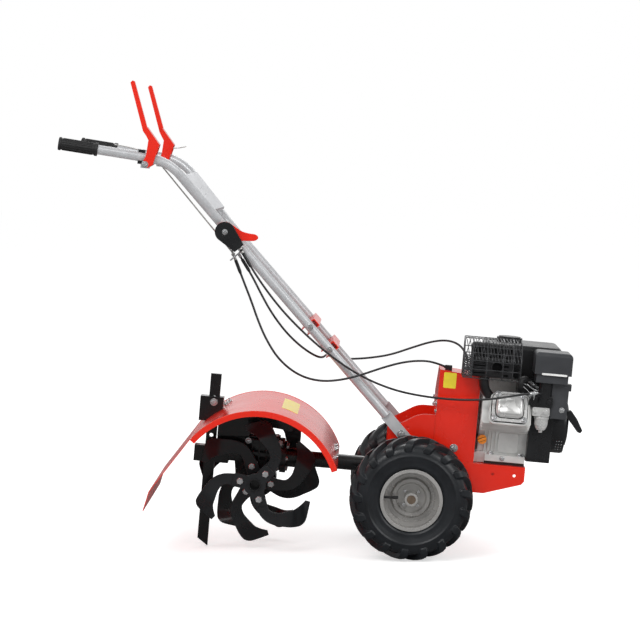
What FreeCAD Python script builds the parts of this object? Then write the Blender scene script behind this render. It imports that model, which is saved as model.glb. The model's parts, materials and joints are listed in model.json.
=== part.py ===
"""Walk-behind rear-tine rotary tiller with a front engine, two drive wheels and a depth stake.

Every piece is modelled in the machine frame: millimetres, +X towards the engine, +Y to the machine's left,
+Z up, origin on the wheel axle at the mid-plane.  seat() then leans the machine nose down by the parking
pitch and lifts it on to its wheels, so that it stands on both tyres and on the tip of the depth stake.
"""
import FreeCAD
import Part
import math
import os
import Sketcher
from FreeCAD import Vector

doc = FreeCAD.newDocument("rotary_tiller")
sheet = doc.addObject("Spreadsheet::Sheet", "Sizes")
pieces = []
CABLES = ("clutch_cable", "drive_cable", "throttle_cable")


class Size:
    """A number together with the spreadsheet expression that gives it."""

    def __init__(self, value, text):
        self.value = float(value)
        self.text = text

    def __add__(self, other):
        other = as_size(other)
        return Size(self.value + other.value, "(%s + %s)" % (self.text, other.text))

    def __sub__(self, other):
        other = as_size(other)
        return Size(self.value - other.value, "(%s - %s)" % (self.text, other.text))

    def __mul__(self, other):
        other = as_size(other)
        return Size(self.value * other.value, "(%s * %s)" % (self.text, other.text))

    def __truediv__(self, other):
        other = as_size(other)
        return Size(self.value / other.value, "(%s / %s)" % (self.text, other.text))

    def __neg__(self):
        return Size(-self.value, "(-1 * %s)" % self.text)

    def __radd__(self, other):
        return as_size(other) + self

    def __rsub__(self, other):
        return as_size(other) - self

    def __rmul__(self, other):
        return as_size(other) * self


def as_size(value):
    """Let plain numbers take part in Size arithmetic."""
    return value if isinstance(value, Size) else Size(value, "%.9g" % value)


def number(value):
    """The plain number behind a Size."""
    return as_size(value).value


def sine(angle):
    return Size(math.sin(math.radians(angle.value)), "sin(%s)" % angle.text)


def cosine(angle):
    return Size(math.cos(math.radians(angle.value)), "cos(%s)" % angle.text)


class Sheet:
    """Named cells of the driving spreadsheet, read back as Size attributes."""

    def __init__(self):
        self.row = 0

    def add(self, **cells):
        for alias, value in cells.items():
            self.row += 1
            sheet.set("A%d" % self.row, alias)
            sheet.set("B%d" % self.row, repr(value))
            sheet.setAlias("B%d" % self.row, alias)
            setattr(self, alias, Size(value, "Sizes." + alias))

    def change(self, alias, value):
        """Give a cell a new value; the bound pieces follow at the next recompute."""
        sheet.set(sheet.getCellFromAlias(alias), repr(value))
        getattr(self, alias).value = value


D = Sheet()
# stance, wheels and axle
D.add(axle_forward=0.0, pitch=5.0, wheel_diameter=330.0, tyre_width=125.0, wheel_spacing=392.0, tyre_wall=9.0,
      tyre_shoulder=24.0, tyre_crown=3.0, bead_seat_diameter=154.0, rim_flange_diameter=166.0, rim_width=106.0,
      rim_wall=3.0, rim_well=9.0, disc_inset=8.0, disc_bead_radius=46.0, hub_diameter=35.0, hub_inside=46.0,
      hub_outside=40.0, axle_diameter=24.0, running_gap=0.05)
# chassis plates, engine deck and belt cover
D.add(frame_width=228.0, plate=4.0, sheet_metal=2.0, side_rear=74.0, side_top=217.0, side_bottom=-40.0,
      side_front=100.0, side_lap_top=142.0, side_round=70.0, side_crest=6.0, foot_bolt_back=40.0,
      foot_bolt_height=158.0, bar_bolt_diameter=9.0, deck_height=96.0, deck_thickness=3.0, deck_front=302.0,
      deck_rear=30.0, skirt_low=17.0, skirt_taper_start=195.0, skirt_corner_low=49.0, skirt_corner_height=58.0,
      skirt_corner_back=295.0, deck_hole_rear=215.5, deck_hole_front=274.0, deck_hole_height=71.5,
      deck_hole_diameter=8.0, cover_rear=49.5, cover_front=161.0, cover_top_rear=341.5, cover_top_front=330.5,
      cover_slope_start=-5.0, cover_far_height=265.0, crank_hole=48.0)
# wheel gearbox, its cross plate and the drive tube
D.add(gearbox_width=150.0, gearbox_length=116.0, gearbox_top=138.0, gearbox_bottom=-52.0, gearbox_round=12.0,
      axle_housing_diameter=62.0, cross_low=22.0, cross_top=110.0, cross_plate=5.0, collar_length=24.0,
      collar_wall=6.0, drive_tube_diameter=42.0, drive_tube_height=52.0, drive_tube_wall=3.0)
# tine unit
D.add(rotor_back=420.0, rotor_drop=10.0, rotor_shaft_diameter=25.0, rotor_tube_diameter=35.0, socket_diameter=27.0,
      socket_start=126.0, rotor_end=160.0, rotor_start=38.0, shaft_end=124.0, tine_width=38.0, tine_thickness=7.0,
      tine_root=22.0, tine_curve_out=60.0, tine_curve_up=68.0, tine_sweep_outer=81.0, tine_sweep_inner=134.0,
      tine_foot=30.0, tine_foot_turn=80.0, tine_fold=8.0, tine_bolt=8.0, flange_thickness=6.0,
      flange_bolt_circle=82.0, flange_arm_width=36.0, flange_boss=9.0, outer_flange=140.0,
      inner_flange=65.0, tine_box_width=64.0, tine_box_radius=44.0, worm_radius=32.0, worm_length=110.0,
      worm_behind=52.0, tine_box_flange=16.0, tine_box_collar=28.0)
# hood, flap and depth stake
D.add(hood_back=413.5, hood_drop=28.0, hood_radius=229.0, hood_width=500.0, hood_front_angle=23.0,
      hood_rear_angle=143.5, hood_rim=15.0, stake_slot_gap=4.0, flap_knee_back=598.42, flap_knee_height=110.0,
      flap_fold_back=696.0, flap_fold_drop=40.0, flap_tip_back=707.5, flap_tip_drop=93.0, flap_inset=4.0,
      stake_back=556.5, stake_width=29.0, stake_thickness=12.0, stake_top=264.0, stake_gap=0.5,
      stake_tip_cut=20.0, stake_hole=11.0, stake_hole_step=35.0, stake_first_hole=30.0)
D.add(guide_low=134.0, guide_top=202.0, guide_behind=23.0, guide_ahead=12.0, guide_half=18.0, arm_socket_low=22.0,
      arm_socket_top=66.0, arm_socket_behind=28.0, arm_socket_ahead=38.0, arm_socket_half=20.0, arm_half=16.0,
      arm_low=30.0, arm_top=62.0)
# handlebars and controls
D.add(bar_spacing=236.0, bar_diameter=25.0, bar_wall=2.0, bar_slope=44.35, bar_low_back=84.0,
      bar_low_height=204.4, foot_width=30.0, foot_length=100.0, split_reach=678.0, knee_back=718.0,
      knee_height=836.0, knee_half=218.0, knee_bend=122.0, split_bend=80.0, bar_end_back=1003.0,
      bar_end_height=857.0, bar_end_half=238.0, grip_diameter=31.0, grip_length=104.0, grip_cap=4.0)
D.add(lever_half=222.0, lever_room=13.0, lever_skin=3.0, pivot_back=776.5, pivot_height=821.5, pivot_diameter=8.0,
      pivot_play=0.6, tab_half=5.0, tab_length=24.0, tab_low=812.0, tab_top=832.0)
D.add(brace_low=233.5, brace_high=313.0, brace_length=24.0, brace_depth=44.0, brace_skin=3.0,
      sign_low=600.0, sign_high=672.0, sign_thickness=3.0, throttle_reach=657.0, throttle_drop=5.0,
      throttle_radius=27.0, throttle_tail=58.0, throttle_tail_half=15.5, throttle_depth=12.0,
      throttle_lever_depth=7.5, throttle_rim=1.5)
D.add(cable_diameter=6.0, ferrule_diameter=9.0, ferrule_length=14.0, grommet_half=9.0, grommet_top=352.0,
      far_grommet_top=308.0, stop_reach=588.0, stop_plate=4.0, stop_depth=46.0, stop_outer=128.0,
      stop_inner=90.0, control_rod_diameter=4.0)
# engine
D.add(engine_base=104.0, crank_height=106.0, engine_rear=170.0, engine_front=302.0, case_right=78.0,
      case_left=92.0, case_top=282.0, foot_rear=191.0, foot_front=299.0, foot_half=100.0, foot_height=18.0,
      spacer_half=96.0, bearing_radius=58.0, bearing_boss=8.0, crank_diameter=25.4, crank_reach=38.0,
      cylinder_lean=25.0, cylinder_forward=242.0, cylinder_height=223.0, cylinder_length=84.0, core_half=48.0,
      fin_rear=76.0, fin_front=60.0, core_height=34.0, fin_height=44.0, fin_thickness=4.0, fin_pitch=12.0)
D.add(cover_flange_half=48.0, cover_flange_height=42.0, cover_flange=6.0, cover_dome=24.0, cover_round=9.0)
D.add(guard_rear=106.0, guard_end=262.0, guard_floor=332.0, guard_front=190.0, guard_back=118.0,
      guard_shoulder=388.0, guard_crest=150.0, guard_top=440.0, guard_wire=3.0, guard_pitch=19.0,
      guard_rise=27.0, guard_lug=10.0, guard_round=14.0, muffler_inset=13.0, muffler_lift=3.0,
      muffler_end=240.0, muffler_rear=127.0, slot_start=16.0, slot_pitch=14.0, slot_width=5.0, tail_hole=28.0,
      pipe_diameter=32.0)
D.add(tank_rear=168.0, tank_front=378.0, tank_right=60.0, tank_left=130.0, tank_rise=118.0, tank_height=93.0,
      tank_round=24.0, tank_leg=8.0, cap_forward=238.0, cap_left=40.0, cap_diameter=70.0, cap_height=11.0)
D.add(cleaner_rear=299.0, cleaner_front=398.0, cleaner_right=166.0, cleaner_left=70.0, cleaner_floor=334.0,
      cleaner_seam=357.0, cleaner_top=417.0, cleaner_step=6.0, cleaner_round=13.0)
D.add(shroud_front=365.0, shroud_radius=100.0, shroud_right=108.0, shroud_low=111.0, shroud_side_top=252.0,
      recoil_radius=80.0, recoil_rim=78.0, recoil_front=405.0, nose_radius=60.0, nose_front=413.0)
D.add(carb_right=150.0, carb_left=110.0, carb_low=234.0, carb_top=266.0, carb_front=350.0, elbow_rear=316.0,
      elbow_front=343.0, bowl_forward=336.0, bowl_radius=18.0, bowl_low=196.0, panel_rear=352.0,
      panel_front=397.0, panel_low=238.0, panel_top=333.0, panel_head=315.0, panel_right=138.0,
      starter_width=24.0, starter_across=60.0, dipstick_forward=180.0, dipstick_height=160.0,
      dipstick_stem=16.0, dipstick_knob=25.0)
doc.recompute()

WHEEL_RADIUS = D.wheel_diameter / 2
COS_PITCH = cosine(D.pitch)
SIN_PITCH = sine(D.pitch)
PLANES = {"XY": "XY_Plane", "XZ": "XZ_Plane", "YZ": "YZ_Plane"}
# How far a cutting outline runs past the face it opens.
PAST = 1


def bind(thing, prop, size):
    """Drive a property from the spreadsheet, or set it where the size is a plain number."""
    thing.setExpression(prop, as_size(size).text)


def place(thing, x=0, y=0, z=0):
    """Put a construction object at a point of its piece's own frame."""
    for axis, size in zip("xyz", (x, y, z)):
        bind(thing, "Placement.Base." + axis, size)


def seat(piece, label, x=0, y=0, z=0):
    """Name a finished piece and set it into the parked machine at a point of the machine frame."""
    x, z = as_size(x), as_size(z)
    piece.Label = label
    piece.Placement = FreeCAD.Placement(Vector(0, 0, 0), FreeCAD.Rotation(Vector(0, 1, 0), D.pitch.value))
    bind(piece, "Placement.Rotation.Angle", D.pitch)
    bind(piece, "Placement.Base.x", D.axle_forward + x * COS_PITCH + z * SIN_PITCH)
    bind(piece, "Placement.Base.y", y)
    bind(piece, "Placement.Base.z", WHEEL_RADIUS + z * COS_PITCH - x * SIN_PITCH)
    pieces.append(piece)
    return piece


def box(x0, x1, y0, y1, z0, z1, corner=True):
    """Part::Box between two corners of its piece's frame."""
    made = doc.addObject("Part::Box", "box")
    bind(made, "Length", as_size(x1) - x0)
    bind(made, "Width", as_size(y1) - y0)
    bind(made, "Height", as_size(z1) - z0)
    if corner:
        place(made, x0, y0, z0)
    return made


def rod(axis, radius, start, end, u=0, v=0):
    """Part::Cylinder along X, Y or Z from start to end; u and v place it on the other two axes in order."""
    made = doc.addObject("Part::Cylinder", "rod")
    bind(made, "Radius", radius)
    bind(made, "Height", as_size(end) - start)
    turn = {"X": (Vector(0, 1, 0), 90), "Y": (Vector(1, 0, 0), -90), "Z": (Vector(0, 0, 1), 0)}[axis]
    made.Placement = FreeCAD.Placement(Vector(0, 0, 0), FreeCAD.Rotation(*turn))
    spots = {"X": (start, u, v), "Y": (u, start, v), "Z": (u, v, start)}[axis]
    place(made, *spots)
    return made


def fuse(*shapes):
    made = doc.addObject("Part::MultiFuse", "fused")
    made.Shapes = list(shapes)
    made.Refine = True
    return made


def cut(base, *tools):
    made = doc.addObject("Part::Cut", "cut")
    made.Base = base
    made.Tool = tools[0] if len(tools) == 1 else fuse(*tools)
    made.Refine = True
    return made


def body():
    return doc.addObject("PartDesign::Body", "body")


def draw(owner, plane, outlines, offset=0, circles=()):
    """Sketch closed outlines, given as lists of Size points, and circles (x, y, radius) on an origin plane."""
    sketch = owner.newObject("Sketcher::SketchObject", "outline")
    origin = [one for one in owner.Origin.OriginFeatures if one.Role == PLANES[plane]][0]
    sketch.AttachmentSupport = (origin, [""])
    sketch.MapMode = "FlatFace"
    bind(sketch, "AttachmentOffset.Base.z", -as_size(offset) if plane == "XZ" else offset)
    for outline in outlines:
        spots = [(as_size(x), as_size(y)) for x, y in outline]
        first = sketch.GeometryCount
        for this, following in zip(spots, spots[1:] + spots[:1]):
            sketch.addGeometry(Part.LineSegment(Vector(this[0].value, this[1].value, 0),
                                                Vector(following[0].value, following[1].value, 0)))
        for index, spot in enumerate(spots):
            line = first + index
            before = first + (index - 1) % len(spots)
            sketch.addConstraint(Sketcher.Constraint("Coincident", before, 2, line, 1))
            tie(sketch, line, 1, spot)
    for x, y, radius in circles:
        line = sketch.GeometryCount
        radius = as_size(radius)
        sketch.addGeometry(Part.Circle(Vector(number(x), number(y), 0), Vector(0, 0, 1), radius.value))
        tie(sketch, line, 3, (as_size(x), as_size(y)))
        index = sketch.addConstraint(Sketcher.Constraint("Radius", line, radius.value))
        bind(sketch, "Constraints[%d]" % index, radius)
    return sketch


def tie(sketch, line, end, spot):
    """Hold a sketch point at its bound distances from the origin."""
    for kind, size in zip(("DistanceX", "DistanceY"), spot):
        index = sketch.addConstraint(Sketcher.Constraint(kind, -1, 1, line, end, size.value))
        bind(sketch, "Constraints[%d]" % index, size)


def pad(owner, sketch, length, middle=False, reverse=False):
    made = owner.newObject("PartDesign::Pad", "pad")
    made.Profile = sketch
    bind(made, "Length", length)
    made.Midplane = middle
    made.Reversed = reverse
    owner.Tip = made
    return made


def pocket(owner, sketch, length=None, middle=True, reverse=False):
    """Cut a sketch through its body, or to a length, and make sure that it did cut."""
    before = volume_of(owner)
    made = owner.newObject("PartDesign::Pocket", "pocket")
    made.Profile = sketch
    if length is None:
        made.Type = "ThroughAll"
    else:
        bind(made, "Length", length)
    made.Midplane = middle
    made.Reversed = reverse
    owner.Tip = made
    if not volume_of(owner) < before:
        raise ValueError("a pocket removed nothing from " + owner.Name)
    return made


def revolve(owner, sketch, axis="H_Axis", angle=360.0, reverse=False):
    made = owner.newObject("PartDesign::Revolution", "turned")
    made.Profile = sketch
    made.ReferenceAxis = (sketch, [axis])
    bind(made, "Angle", angle)
    made.Reversed = reverse
    owner.Tip = made
    return made


def volume_of(owner):
    doc.recompute()
    return owner.Shape.Volume


def round_off(owner, radius, chosen):
    """Fillet the edges of a body that pass the test on their middle point and the edge."""
    doc.recompute()
    base = owner.Tip
    names = ["Edge%d" % (index + 1) for index, edge in enumerate(base.Shape.Edges) if chosen(middle_of(edge), edge)]
    if not names:
        raise ValueError("no edge to round on " + owner.Name)
    made = owner.newObject("PartDesign::Fillet", "rounded")
    made.Base = (base, names)
    bind(made, "Radius", radius)
    owner.Tip = made
    return made


def middle_of(edge):
    return edge.valueAt((edge.FirstParameter + edge.LastParameter) / 2)


def near(value, target, slack=0.05):
    return abs(value - number(target)) < slack


def along(axis):
    """Test for straight edges that run along one axis."""
    def chosen(spot, edge):
        size = {"X": edge.BoundBox.XLength, "Y": edge.BoundBox.YLength, "Z": edge.BoundBox.ZLength}[axis]
        return abs(size - edge.Length) < 0.01
    return chosen


def rectangle(x0, x1, y0, y1):
    return [(x0, y0), (x1, y0), (x1, y1), (x0, y1)]


def lean(thing, x, y, z, angle):
    """Tip a construction object about X and put its origin at a point of its piece's frame."""
    thing.Placement = FreeCAD.Placement(Vector(0, 0, 0), FreeCAD.Rotation(Vector(1, 0, 0), -number(angle)))
    bind(thing, "Placement.Rotation.Angle", -as_size(angle))
    place(thing, x, y, z)
    return thing


def rounded_path(points, bends):
    """Wire of straight runs joined by tangent arcs, with one bend radius for each inner point."""
    spots = [Vector(*[number(size) for size in point]) for point in points]
    edges = []
    start = spots[0]
    for index, radius in enumerate(bends, 1):
        corner = spots[index]
        back = (spots[index - 1] - corner).normalize()
        ahead = (spots[index + 1] - corner).normalize()
        half_turn = (math.pi - back.getAngle(ahead)) / 2
        reach = radius * math.tan(half_turn)
        enter = corner + back * reach
        leave = corner + ahead * reach
        inward = (back + ahead).normalize()
        centre = corner + inward * (radius / math.cos(half_turn))
        edges.append(Part.LineSegment(start, enter).toShape())
        edges.append(Part.Arc(enter, centre - inward * radius, leave).toShape())
        start = leave
    edges.append(Part.LineSegment(start, spots[-1]).toShape())
    return Part.Wire(edges)


def swept(path, radius, hole=0):
    """Round bar, or tube where a hole is given, along a wire of straight runs and arcs."""
    stretches = []
    for edge in path.Edges:
        at, heading = edge.valueAt(edge.FirstParameter), edge.tangentAt(edge.FirstParameter)
        section = disc(at, heading, radius)
        if hole:
            section = section.cut(disc(at, heading, hole)).Faces[0]
        if isinstance(edge.Curve, Part.Line):
            stretches.append(section.extrude(heading * edge.Length))
        else:
            centre, axis = edge.Curve.Center, edge.Curve.Axis
            turn = math.degrees(edge.Length / edge.Curve.Radius)
            ahead = axis.cross(at - centre).dot(heading) > 0
            stretches.append(section.revolve(centre, axis if ahead else -axis, turn))
    return stretches[0].fuse(stretches[1:])


def disc(at, heading, radius):
    return Part.Face(Part.Wire([Part.Circle(at, heading, radius).toShape()]))


def held(shape):
    """A construction object whose shape is made from the sheet's numbers."""
    made = doc.addObject("Part::Feature", "shape")
    made.Shape = shape
    return made


def shaped(shape, label, x=0, y=0, z=0):
    return seat(held(shape), label, x, y, z)


def turned(owner, profile):
    """Revolve a profile of (radius, place along Y) points about the Y axis."""
    return revolve(owner, draw(owner, "XY", [profile]), "V_Axis")


# ---- wheels -------------------------------------------------------------------------------------------------
SEAT_RADIUS = D.bead_seat_diameter / 2


def tyre(side, name):
    """Hollow tyre carcass on its rim; the lugs stand inside the same outer diameter."""
    piece = body()
    half = D.tyre_width / 2
    wall = D.tyre_wall
    shoulder = WHEEL_RADIUS - D.tyre_shoulder
    edge = WHEEL_RADIUS - D.tyre_crown
    bead = D.rim_width / 2 - D.rim_wall
    bulge = SEAT_RADIUS + D.tyre_shoulder
    ceiling = edge - wall
    outer = [(SEAT_RADIUS, -bead), (SEAT_RADIUS + wall, -bead), (bulge, -half), (shoulder, -half),
             (edge, -half * 0.66), (WHEEL_RADIUS, 0), (edge, half * 0.66),
             (shoulder, half), (bulge, half), (SEAT_RADIUS + wall, bead), (SEAT_RADIUS, bead)]
    inner = [(SEAT_RADIUS, bead - wall), (bulge, half - wall), (shoulder, half - wall),
             (ceiling, half * 0.5), (ceiling, -half * 0.5),
             (shoulder, wall - half), (bulge, wall - half), (SEAT_RADIUS, wall - bead)]
    turned(piece, outer + inner)
    return seat(piece, "tyre_" + name, 0, D.wheel_spacing / 2 * side)


def rim(side, name):
    """Dished steel rim: drop-centre barrel, beaded disc and welded hub tube."""
    piece = body()
    wall = D.rim_wall
    wide = D.rim_width / 2
    flange = D.rim_flange_diameter / 2
    hub = D.hub_diameter / 2
    bore = D.axle_diameter / 2
    outside = SEAT_RADIUS - D.rim_well
    inside = outside - wall
    barrel = SEAT_RADIUS - wall
    low, high = D.rim_width / 9, D.rim_width / 5
    disc = -D.disc_inset
    bead = D.disc_bead_radius
    rise = D.disc_inset
    skin = [(flange, wide), (flange, wide - wall), (SEAT_RADIUS, wide - wall), (SEAT_RADIUS, high),
            (outside, low), (outside, -low), (SEAT_RADIUS, -high), (SEAT_RADIUS, wall - wide),
            (flange, wall - wide), (flange, -wide)]
    behind = [(barrel, -wide), (barrel, -high), (inside, disc), (bead + rise, disc), (bead + wall, disc + rise),
              (bead - wall, disc + rise), (bead - rise, disc), (hub, disc), (hub, -D.hub_inside),
              (bore, -D.hub_inside)]
    front = disc + wall
    face = [(bore, D.hub_outside), (hub, D.hub_outside), (hub, front), (bead - rise - 1, front),
            (bead - wall - 1, front + rise), (bead + wall + 1, front + rise), (bead + rise + 1, front),
            (inside, front), (inside, low), (barrel, high), (barrel, wide)]
    turned(piece, [(radius, across * side) for radius, across in skin + behind + face])
    return seat(piece, "rim_" + name, 0, D.wheel_spacing / 2 * side)


def axle_shaft(side, name):
    """Half shaft from the middle of the gearbox to just inside the hub tube's outer end."""
    piece = body()
    start, end = D.axle_diameter / 6, D.wheel_spacing / 2 + D.hub_outside - 2
    radius = D.axle_diameter / 2
    turned(piece, [(0, start * side), (radius, start * side), (radius, end * side), (0, end * side)])
    return seat(piece, "axle_shaft_" + name)


# ---- chassis ------------------------------------------------------------------------------------------------
PLATE_OUT = D.frame_width / 2
SKIN_OUT = PLATE_OUT + D.sheet_metal


def side_plate(side, name):
    """Arched side plate that carries the gearbox, the handlebar foot and the axle bearing."""
    piece = body()
    outline = [(-D.side_rear, D.cross_low), (-D.side_rear * 0.4, D.side_bottom), (D.side_front * 0.7, D.side_bottom),
               (D.side_front, D.cross_low), (D.side_front, D.side_lap_top), (D.cover_rear, D.side_lap_top),
               (D.cover_rear, D.side_top), (D.side_crest, D.side_top), (-D.side_rear, D.side_top - D.side_round * 0.7)]
    middle = PLATE_OUT - D.plate / 2
    pad(piece, draw(piece, "XZ", [outline], middle * side), D.plate, middle=True)
    round_off(piece, D.side_round, lambda spot, edge: near(spot.x, D.side_crest, 1) and near(spot.z, D.side_top, 1))
    bolt = D.bar_bolt_diameter / 2
    spare_x, spare_z = bolt * 3.7, bolt * 4.2
    holes = [(0, 0, D.axle_diameter / 2 + D.plate), (-D.foot_bolt_back, D.foot_bolt_height, bolt),
             (spare_x - D.foot_bolt_back, D.foot_bolt_height + spare_z, bolt)]
    pocket(piece, draw(piece, "XZ", [], 0, holes))
    return seat(piece, "side_plate_" + name)


def frame_cross():
    """Rear cross plate between the side plates, with the collar that clamps the drive tube."""
    inner = PLATE_OUT - D.plate
    front = D.cross_plate - D.side_rear
    back = -D.side_rear - D.collar_length
    plate = box(-D.side_rear, front, -inner, inner, D.cross_low, D.cross_top)
    collar = rod("X", D.drive_tube_diameter / 2 + D.collar_wall, back, front, 0, D.drive_tube_height)
    hole = rod("X", D.drive_tube_diameter / 2, back - PAST, front + PAST, 0, D.drive_tube_height)
    return seat(cut(fuse(plate, collar), hole), "frame_cross")


def engine_deck():
    """Folded deck that the engine is bolted to, with its two tapered side skirts."""
    piece = body()
    outline = [(D.deck_rear, D.skirt_low), (D.skirt_taper_start, D.skirt_low),
               (D.skirt_corner_back, D.skirt_corner_low), (D.deck_front, D.skirt_corner_height),
               (D.deck_front, D.deck_height), (D.deck_rear, D.deck_height)]
    pad(piece, draw(piece, "XZ", [outline]), SKIN_OUT * 2, middle=True)
    under = D.deck_height - D.deck_thickness
    pocket(piece, draw(piece, "YZ", [rectangle(-PLATE_OUT, PLATE_OUT, 0, under)]))
    notch = rectangle(0, D.side_front + D.sheet_metal, -PLATE_OUT, PLATE_OUT)
    pocket(piece, draw(piece, "XY", [notch]))
    radius = D.deck_hole_diameter / 2
    holes = [(D.deck_hole_rear, D.deck_hole_height, radius), (D.deck_hole_front, D.deck_hole_height, radius)]
    pocket(piece, draw(piece, "XZ", [], 0, holes))
    return seat(piece, "engine_deck")


def belt_cover():
    """Tall folded belt cover over the side plates, open below, its top falling away to the far side."""
    piece = body()
    skin = D.sheet_metal
    outline = [(D.cover_rear, D.deck_height), (D.cover_front, D.deck_height), (D.cover_front, D.cover_top_front),
               (D.cover_rear, D.cover_top_rear)]
    pad(piece, draw(piece, "XZ", [outline]), SKIN_OUT * 2, middle=True)
    above = D.cover_top_rear * 1.1
    slope = [(D.cover_slope_start, above), (D.cover_slope_start, D.cover_top_rear),
             (SKIN_OUT + PAST, D.cover_far_height), (SKIN_OUT + PAST, above)]
    pocket(piece, draw(piece, "YZ", [slope]))
    ceiling = D.cover_top_front - skin
    cavity = [(-PLATE_OUT, 0), (PLATE_OUT, 0), (PLATE_OUT, D.cover_far_height - skin * 2),
              (D.cover_slope_start, ceiling), (-PLATE_OUT, ceiling)]
    middle = (D.cover_rear + D.cover_front) / 2
    pocket(piece, draw(piece, "YZ", [cavity], middle), D.cover_front - D.cover_rear - skin * 2)
    over_plates = rectangle(D.cover_rear - PAST, D.cover_rear + skin + PAST, 0, D.side_lap_top)
    pocket(piece, draw(piece, "XZ", [over_plates]), PLATE_OUT * 2)
    half = D.grommet_half
    slots = [rectangle(spot.x - half, spot.x + half, spot.y - half, spot.y + half) for spot in GROMMETS]
    pocket(piece, draw(piece, "XY", slots))
    crank = [(0, D.engine_base + D.crank_height, D.crank_hole / 2)]
    pocket(piece, draw(piece, "YZ", [], D.cover_front, crank), skin * 3)
    return seat(piece, "belt_cover")


def gearbox():
    """Cast transmission between the side plates, with its axle housings."""
    case = body()
    outline = rectangle(-D.gearbox_length / 2, D.gearbox_length / 2, D.gearbox_bottom, D.gearbox_top)
    pad(case, draw(case, "XZ", [outline]), D.gearbox_width, middle=True)
    round_off(case, D.gearbox_round, along("Y"))
    housings = rod("Y", D.axle_housing_diameter / 2, D.plate - PLATE_OUT, PLATE_OUT - D.plate)
    bore = rod("Y", D.axle_diameter / 2 + D.running_gap, -PLATE_OUT, PLATE_OUT)
    return seat(cut(fuse(case, housings), bore), "gearbox")


TUBE_BACK = -D.rotor_back + D.worm_length - D.worm_behind


def drive_tube():
    """Black tube that carries the tine unit behind the chassis."""
    radius = D.drive_tube_diameter / 2
    front = D.cross_plate - D.side_rear
    tube = cut(rod("X", radius, TUBE_BACK, front, 0, D.drive_tube_height),
               rod("X", radius - D.drive_tube_wall, TUBE_BACK - PAST, front + PAST, 0, D.drive_tube_height))
    return seat(tube, "drive_tube")


# ---- tine unit ----------------------------------------------------------------------------------------------
ROTOR_X = -D.rotor_back
ROTOR_Z = -D.rotor_drop


def tine_gearbox():
    """Worm gearbox at the end of the drive tube, bored for the rotor shaft."""
    wide = D.tine_box_width / 2
    tube_z = D.drive_tube_height
    tube = D.drive_tube_diameter / 2
    back = ROTOR_X - D.worm_behind
    flange_end = TUBE_BACK + D.tine_box_flange
    end = flange_end + D.tine_box_collar
    wheel_case = rod("Y", D.tine_box_radius, -wide, wide, ROTOR_X, ROTOR_Z)
    worm_case = rod("X", D.worm_radius, back, TUBE_BACK, 0, tube_z)
    rib = D.tine_box_radius - D.collar_wall
    web = box(ROTOR_X - rib, ROTOR_X + rib, D.collar_wall - wide, wide - D.collar_wall, ROTOR_Z, tube_z)
    flange = rod("X", D.tine_box_radius, TUBE_BACK, flange_end, 0, tube_z)
    collar = rod("X", tube + D.collar_wall, flange_end, end, 0, tube_z)
    tube_room = rod("X", tube, TUBE_BACK, end + PAST, 0, tube_z)
    bore = rod("Y", D.rotor_shaft_diameter / 2 + D.running_gap, -wide - PAST, wide + PAST, ROTOR_X, ROTOR_Z)
    return seat(cut(fuse(wheel_case, worm_case, web, flange, collar), tube_room, bore), "tine_gearbox")


def rotor_shaft():
    piece = body()
    radius, end = D.rotor_shaft_diameter / 2, D.shaft_end
    turned(piece, [(0, -end), (radius, -end), (radius, end), (0, end)])
    return seat(piece, "rotor_shaft", ROTOR_X, 0, ROTOR_Z)


def tine_hub(side, name, phases):
    """Tube pinned on the rotor shaft, with its two welded three-armed flanges and an open socket at its end."""
    start, end = number(D.rotor_start * side), number(D.rotor_end * side)
    outer, inner = number(D.rotor_tube_diameter) / 2, number(D.rotor_shaft_diameter) / 2
    heading = Vector(0, side, 0)
    length = abs(end - start)
    tube = Part.makeCylinder(outer, length, Vector(0, start, 0), heading)
    arms = []
    for across, phase in zip((D.inner_flange * side, D.outer_flange * side), phases):
        arms.append(tine_flange(number(across), phase))
    bore = Part.makeCylinder(inner, length, Vector(0, start, 0), heading)
    socket = Part.makeCylinder(number(D.socket_diameter) / 2, number(D.rotor_end - D.socket_start),
                               Vector(0, number(D.socket_start * side), 0), heading)
    shape = tube.fuse(arms).cut(bore).cut(socket).removeSplitter()
    return shaped(shape, "tine_hub_" + name, ROTOR_X, 0, ROTOR_Z)


def tine_flange(across, phase):
    """Boss and three arms of one flange, each arm drilled for its blade's bolt."""
    bolt = number(D.flange_bolt_circle) / 2
    thick = number(D.flange_thickness)
    width = number(D.flange_arm_width)
    lift = Vector(0, thick, 0)
    low = Vector(0, across - thick / 2, 0)
    plate = Part.makeCylinder(number(D.rotor_tube_diameter) / 2 + number(D.flange_boss), thick, low, lift)
    holes = []
    for turn in range(3):
        arm = Part.makeBox(bolt, thick, width, low - Vector(0, 0, width / 2))
        arm = arm.fuse(Part.makeCylinder(width / 2, thick, low + Vector(bolt, 0, 0), lift))
        hole = Part.makeCylinder(number(D.tine_bolt) / 2, thick, low + Vector(bolt, 0, 0), lift)
        for shape in (arm, hole):
            shape.rotate(Vector(0, 0, 0), Vector(0, 1, 0), -phase - 120 * turn)
        plate = plate.fuse(arm)
        holes.append(hole)
    return plate.cut(holes)


def polar_xz(centre, radius, angle):
    turn = math.radians(angle)
    return centre + Vector(radius * math.cos(turn), 0, radius * math.sin(turn))


def arc_xz(centre, radius, start, end):
    """Arc in an XZ plane, angles counted from +X towards +Z."""
    return Part.Arc(polar_xz(centre, radius, start), polar_xz(centre, radius, (start + end) / 2),
                    polar_xz(centre, radius, end)).toShape()


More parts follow.
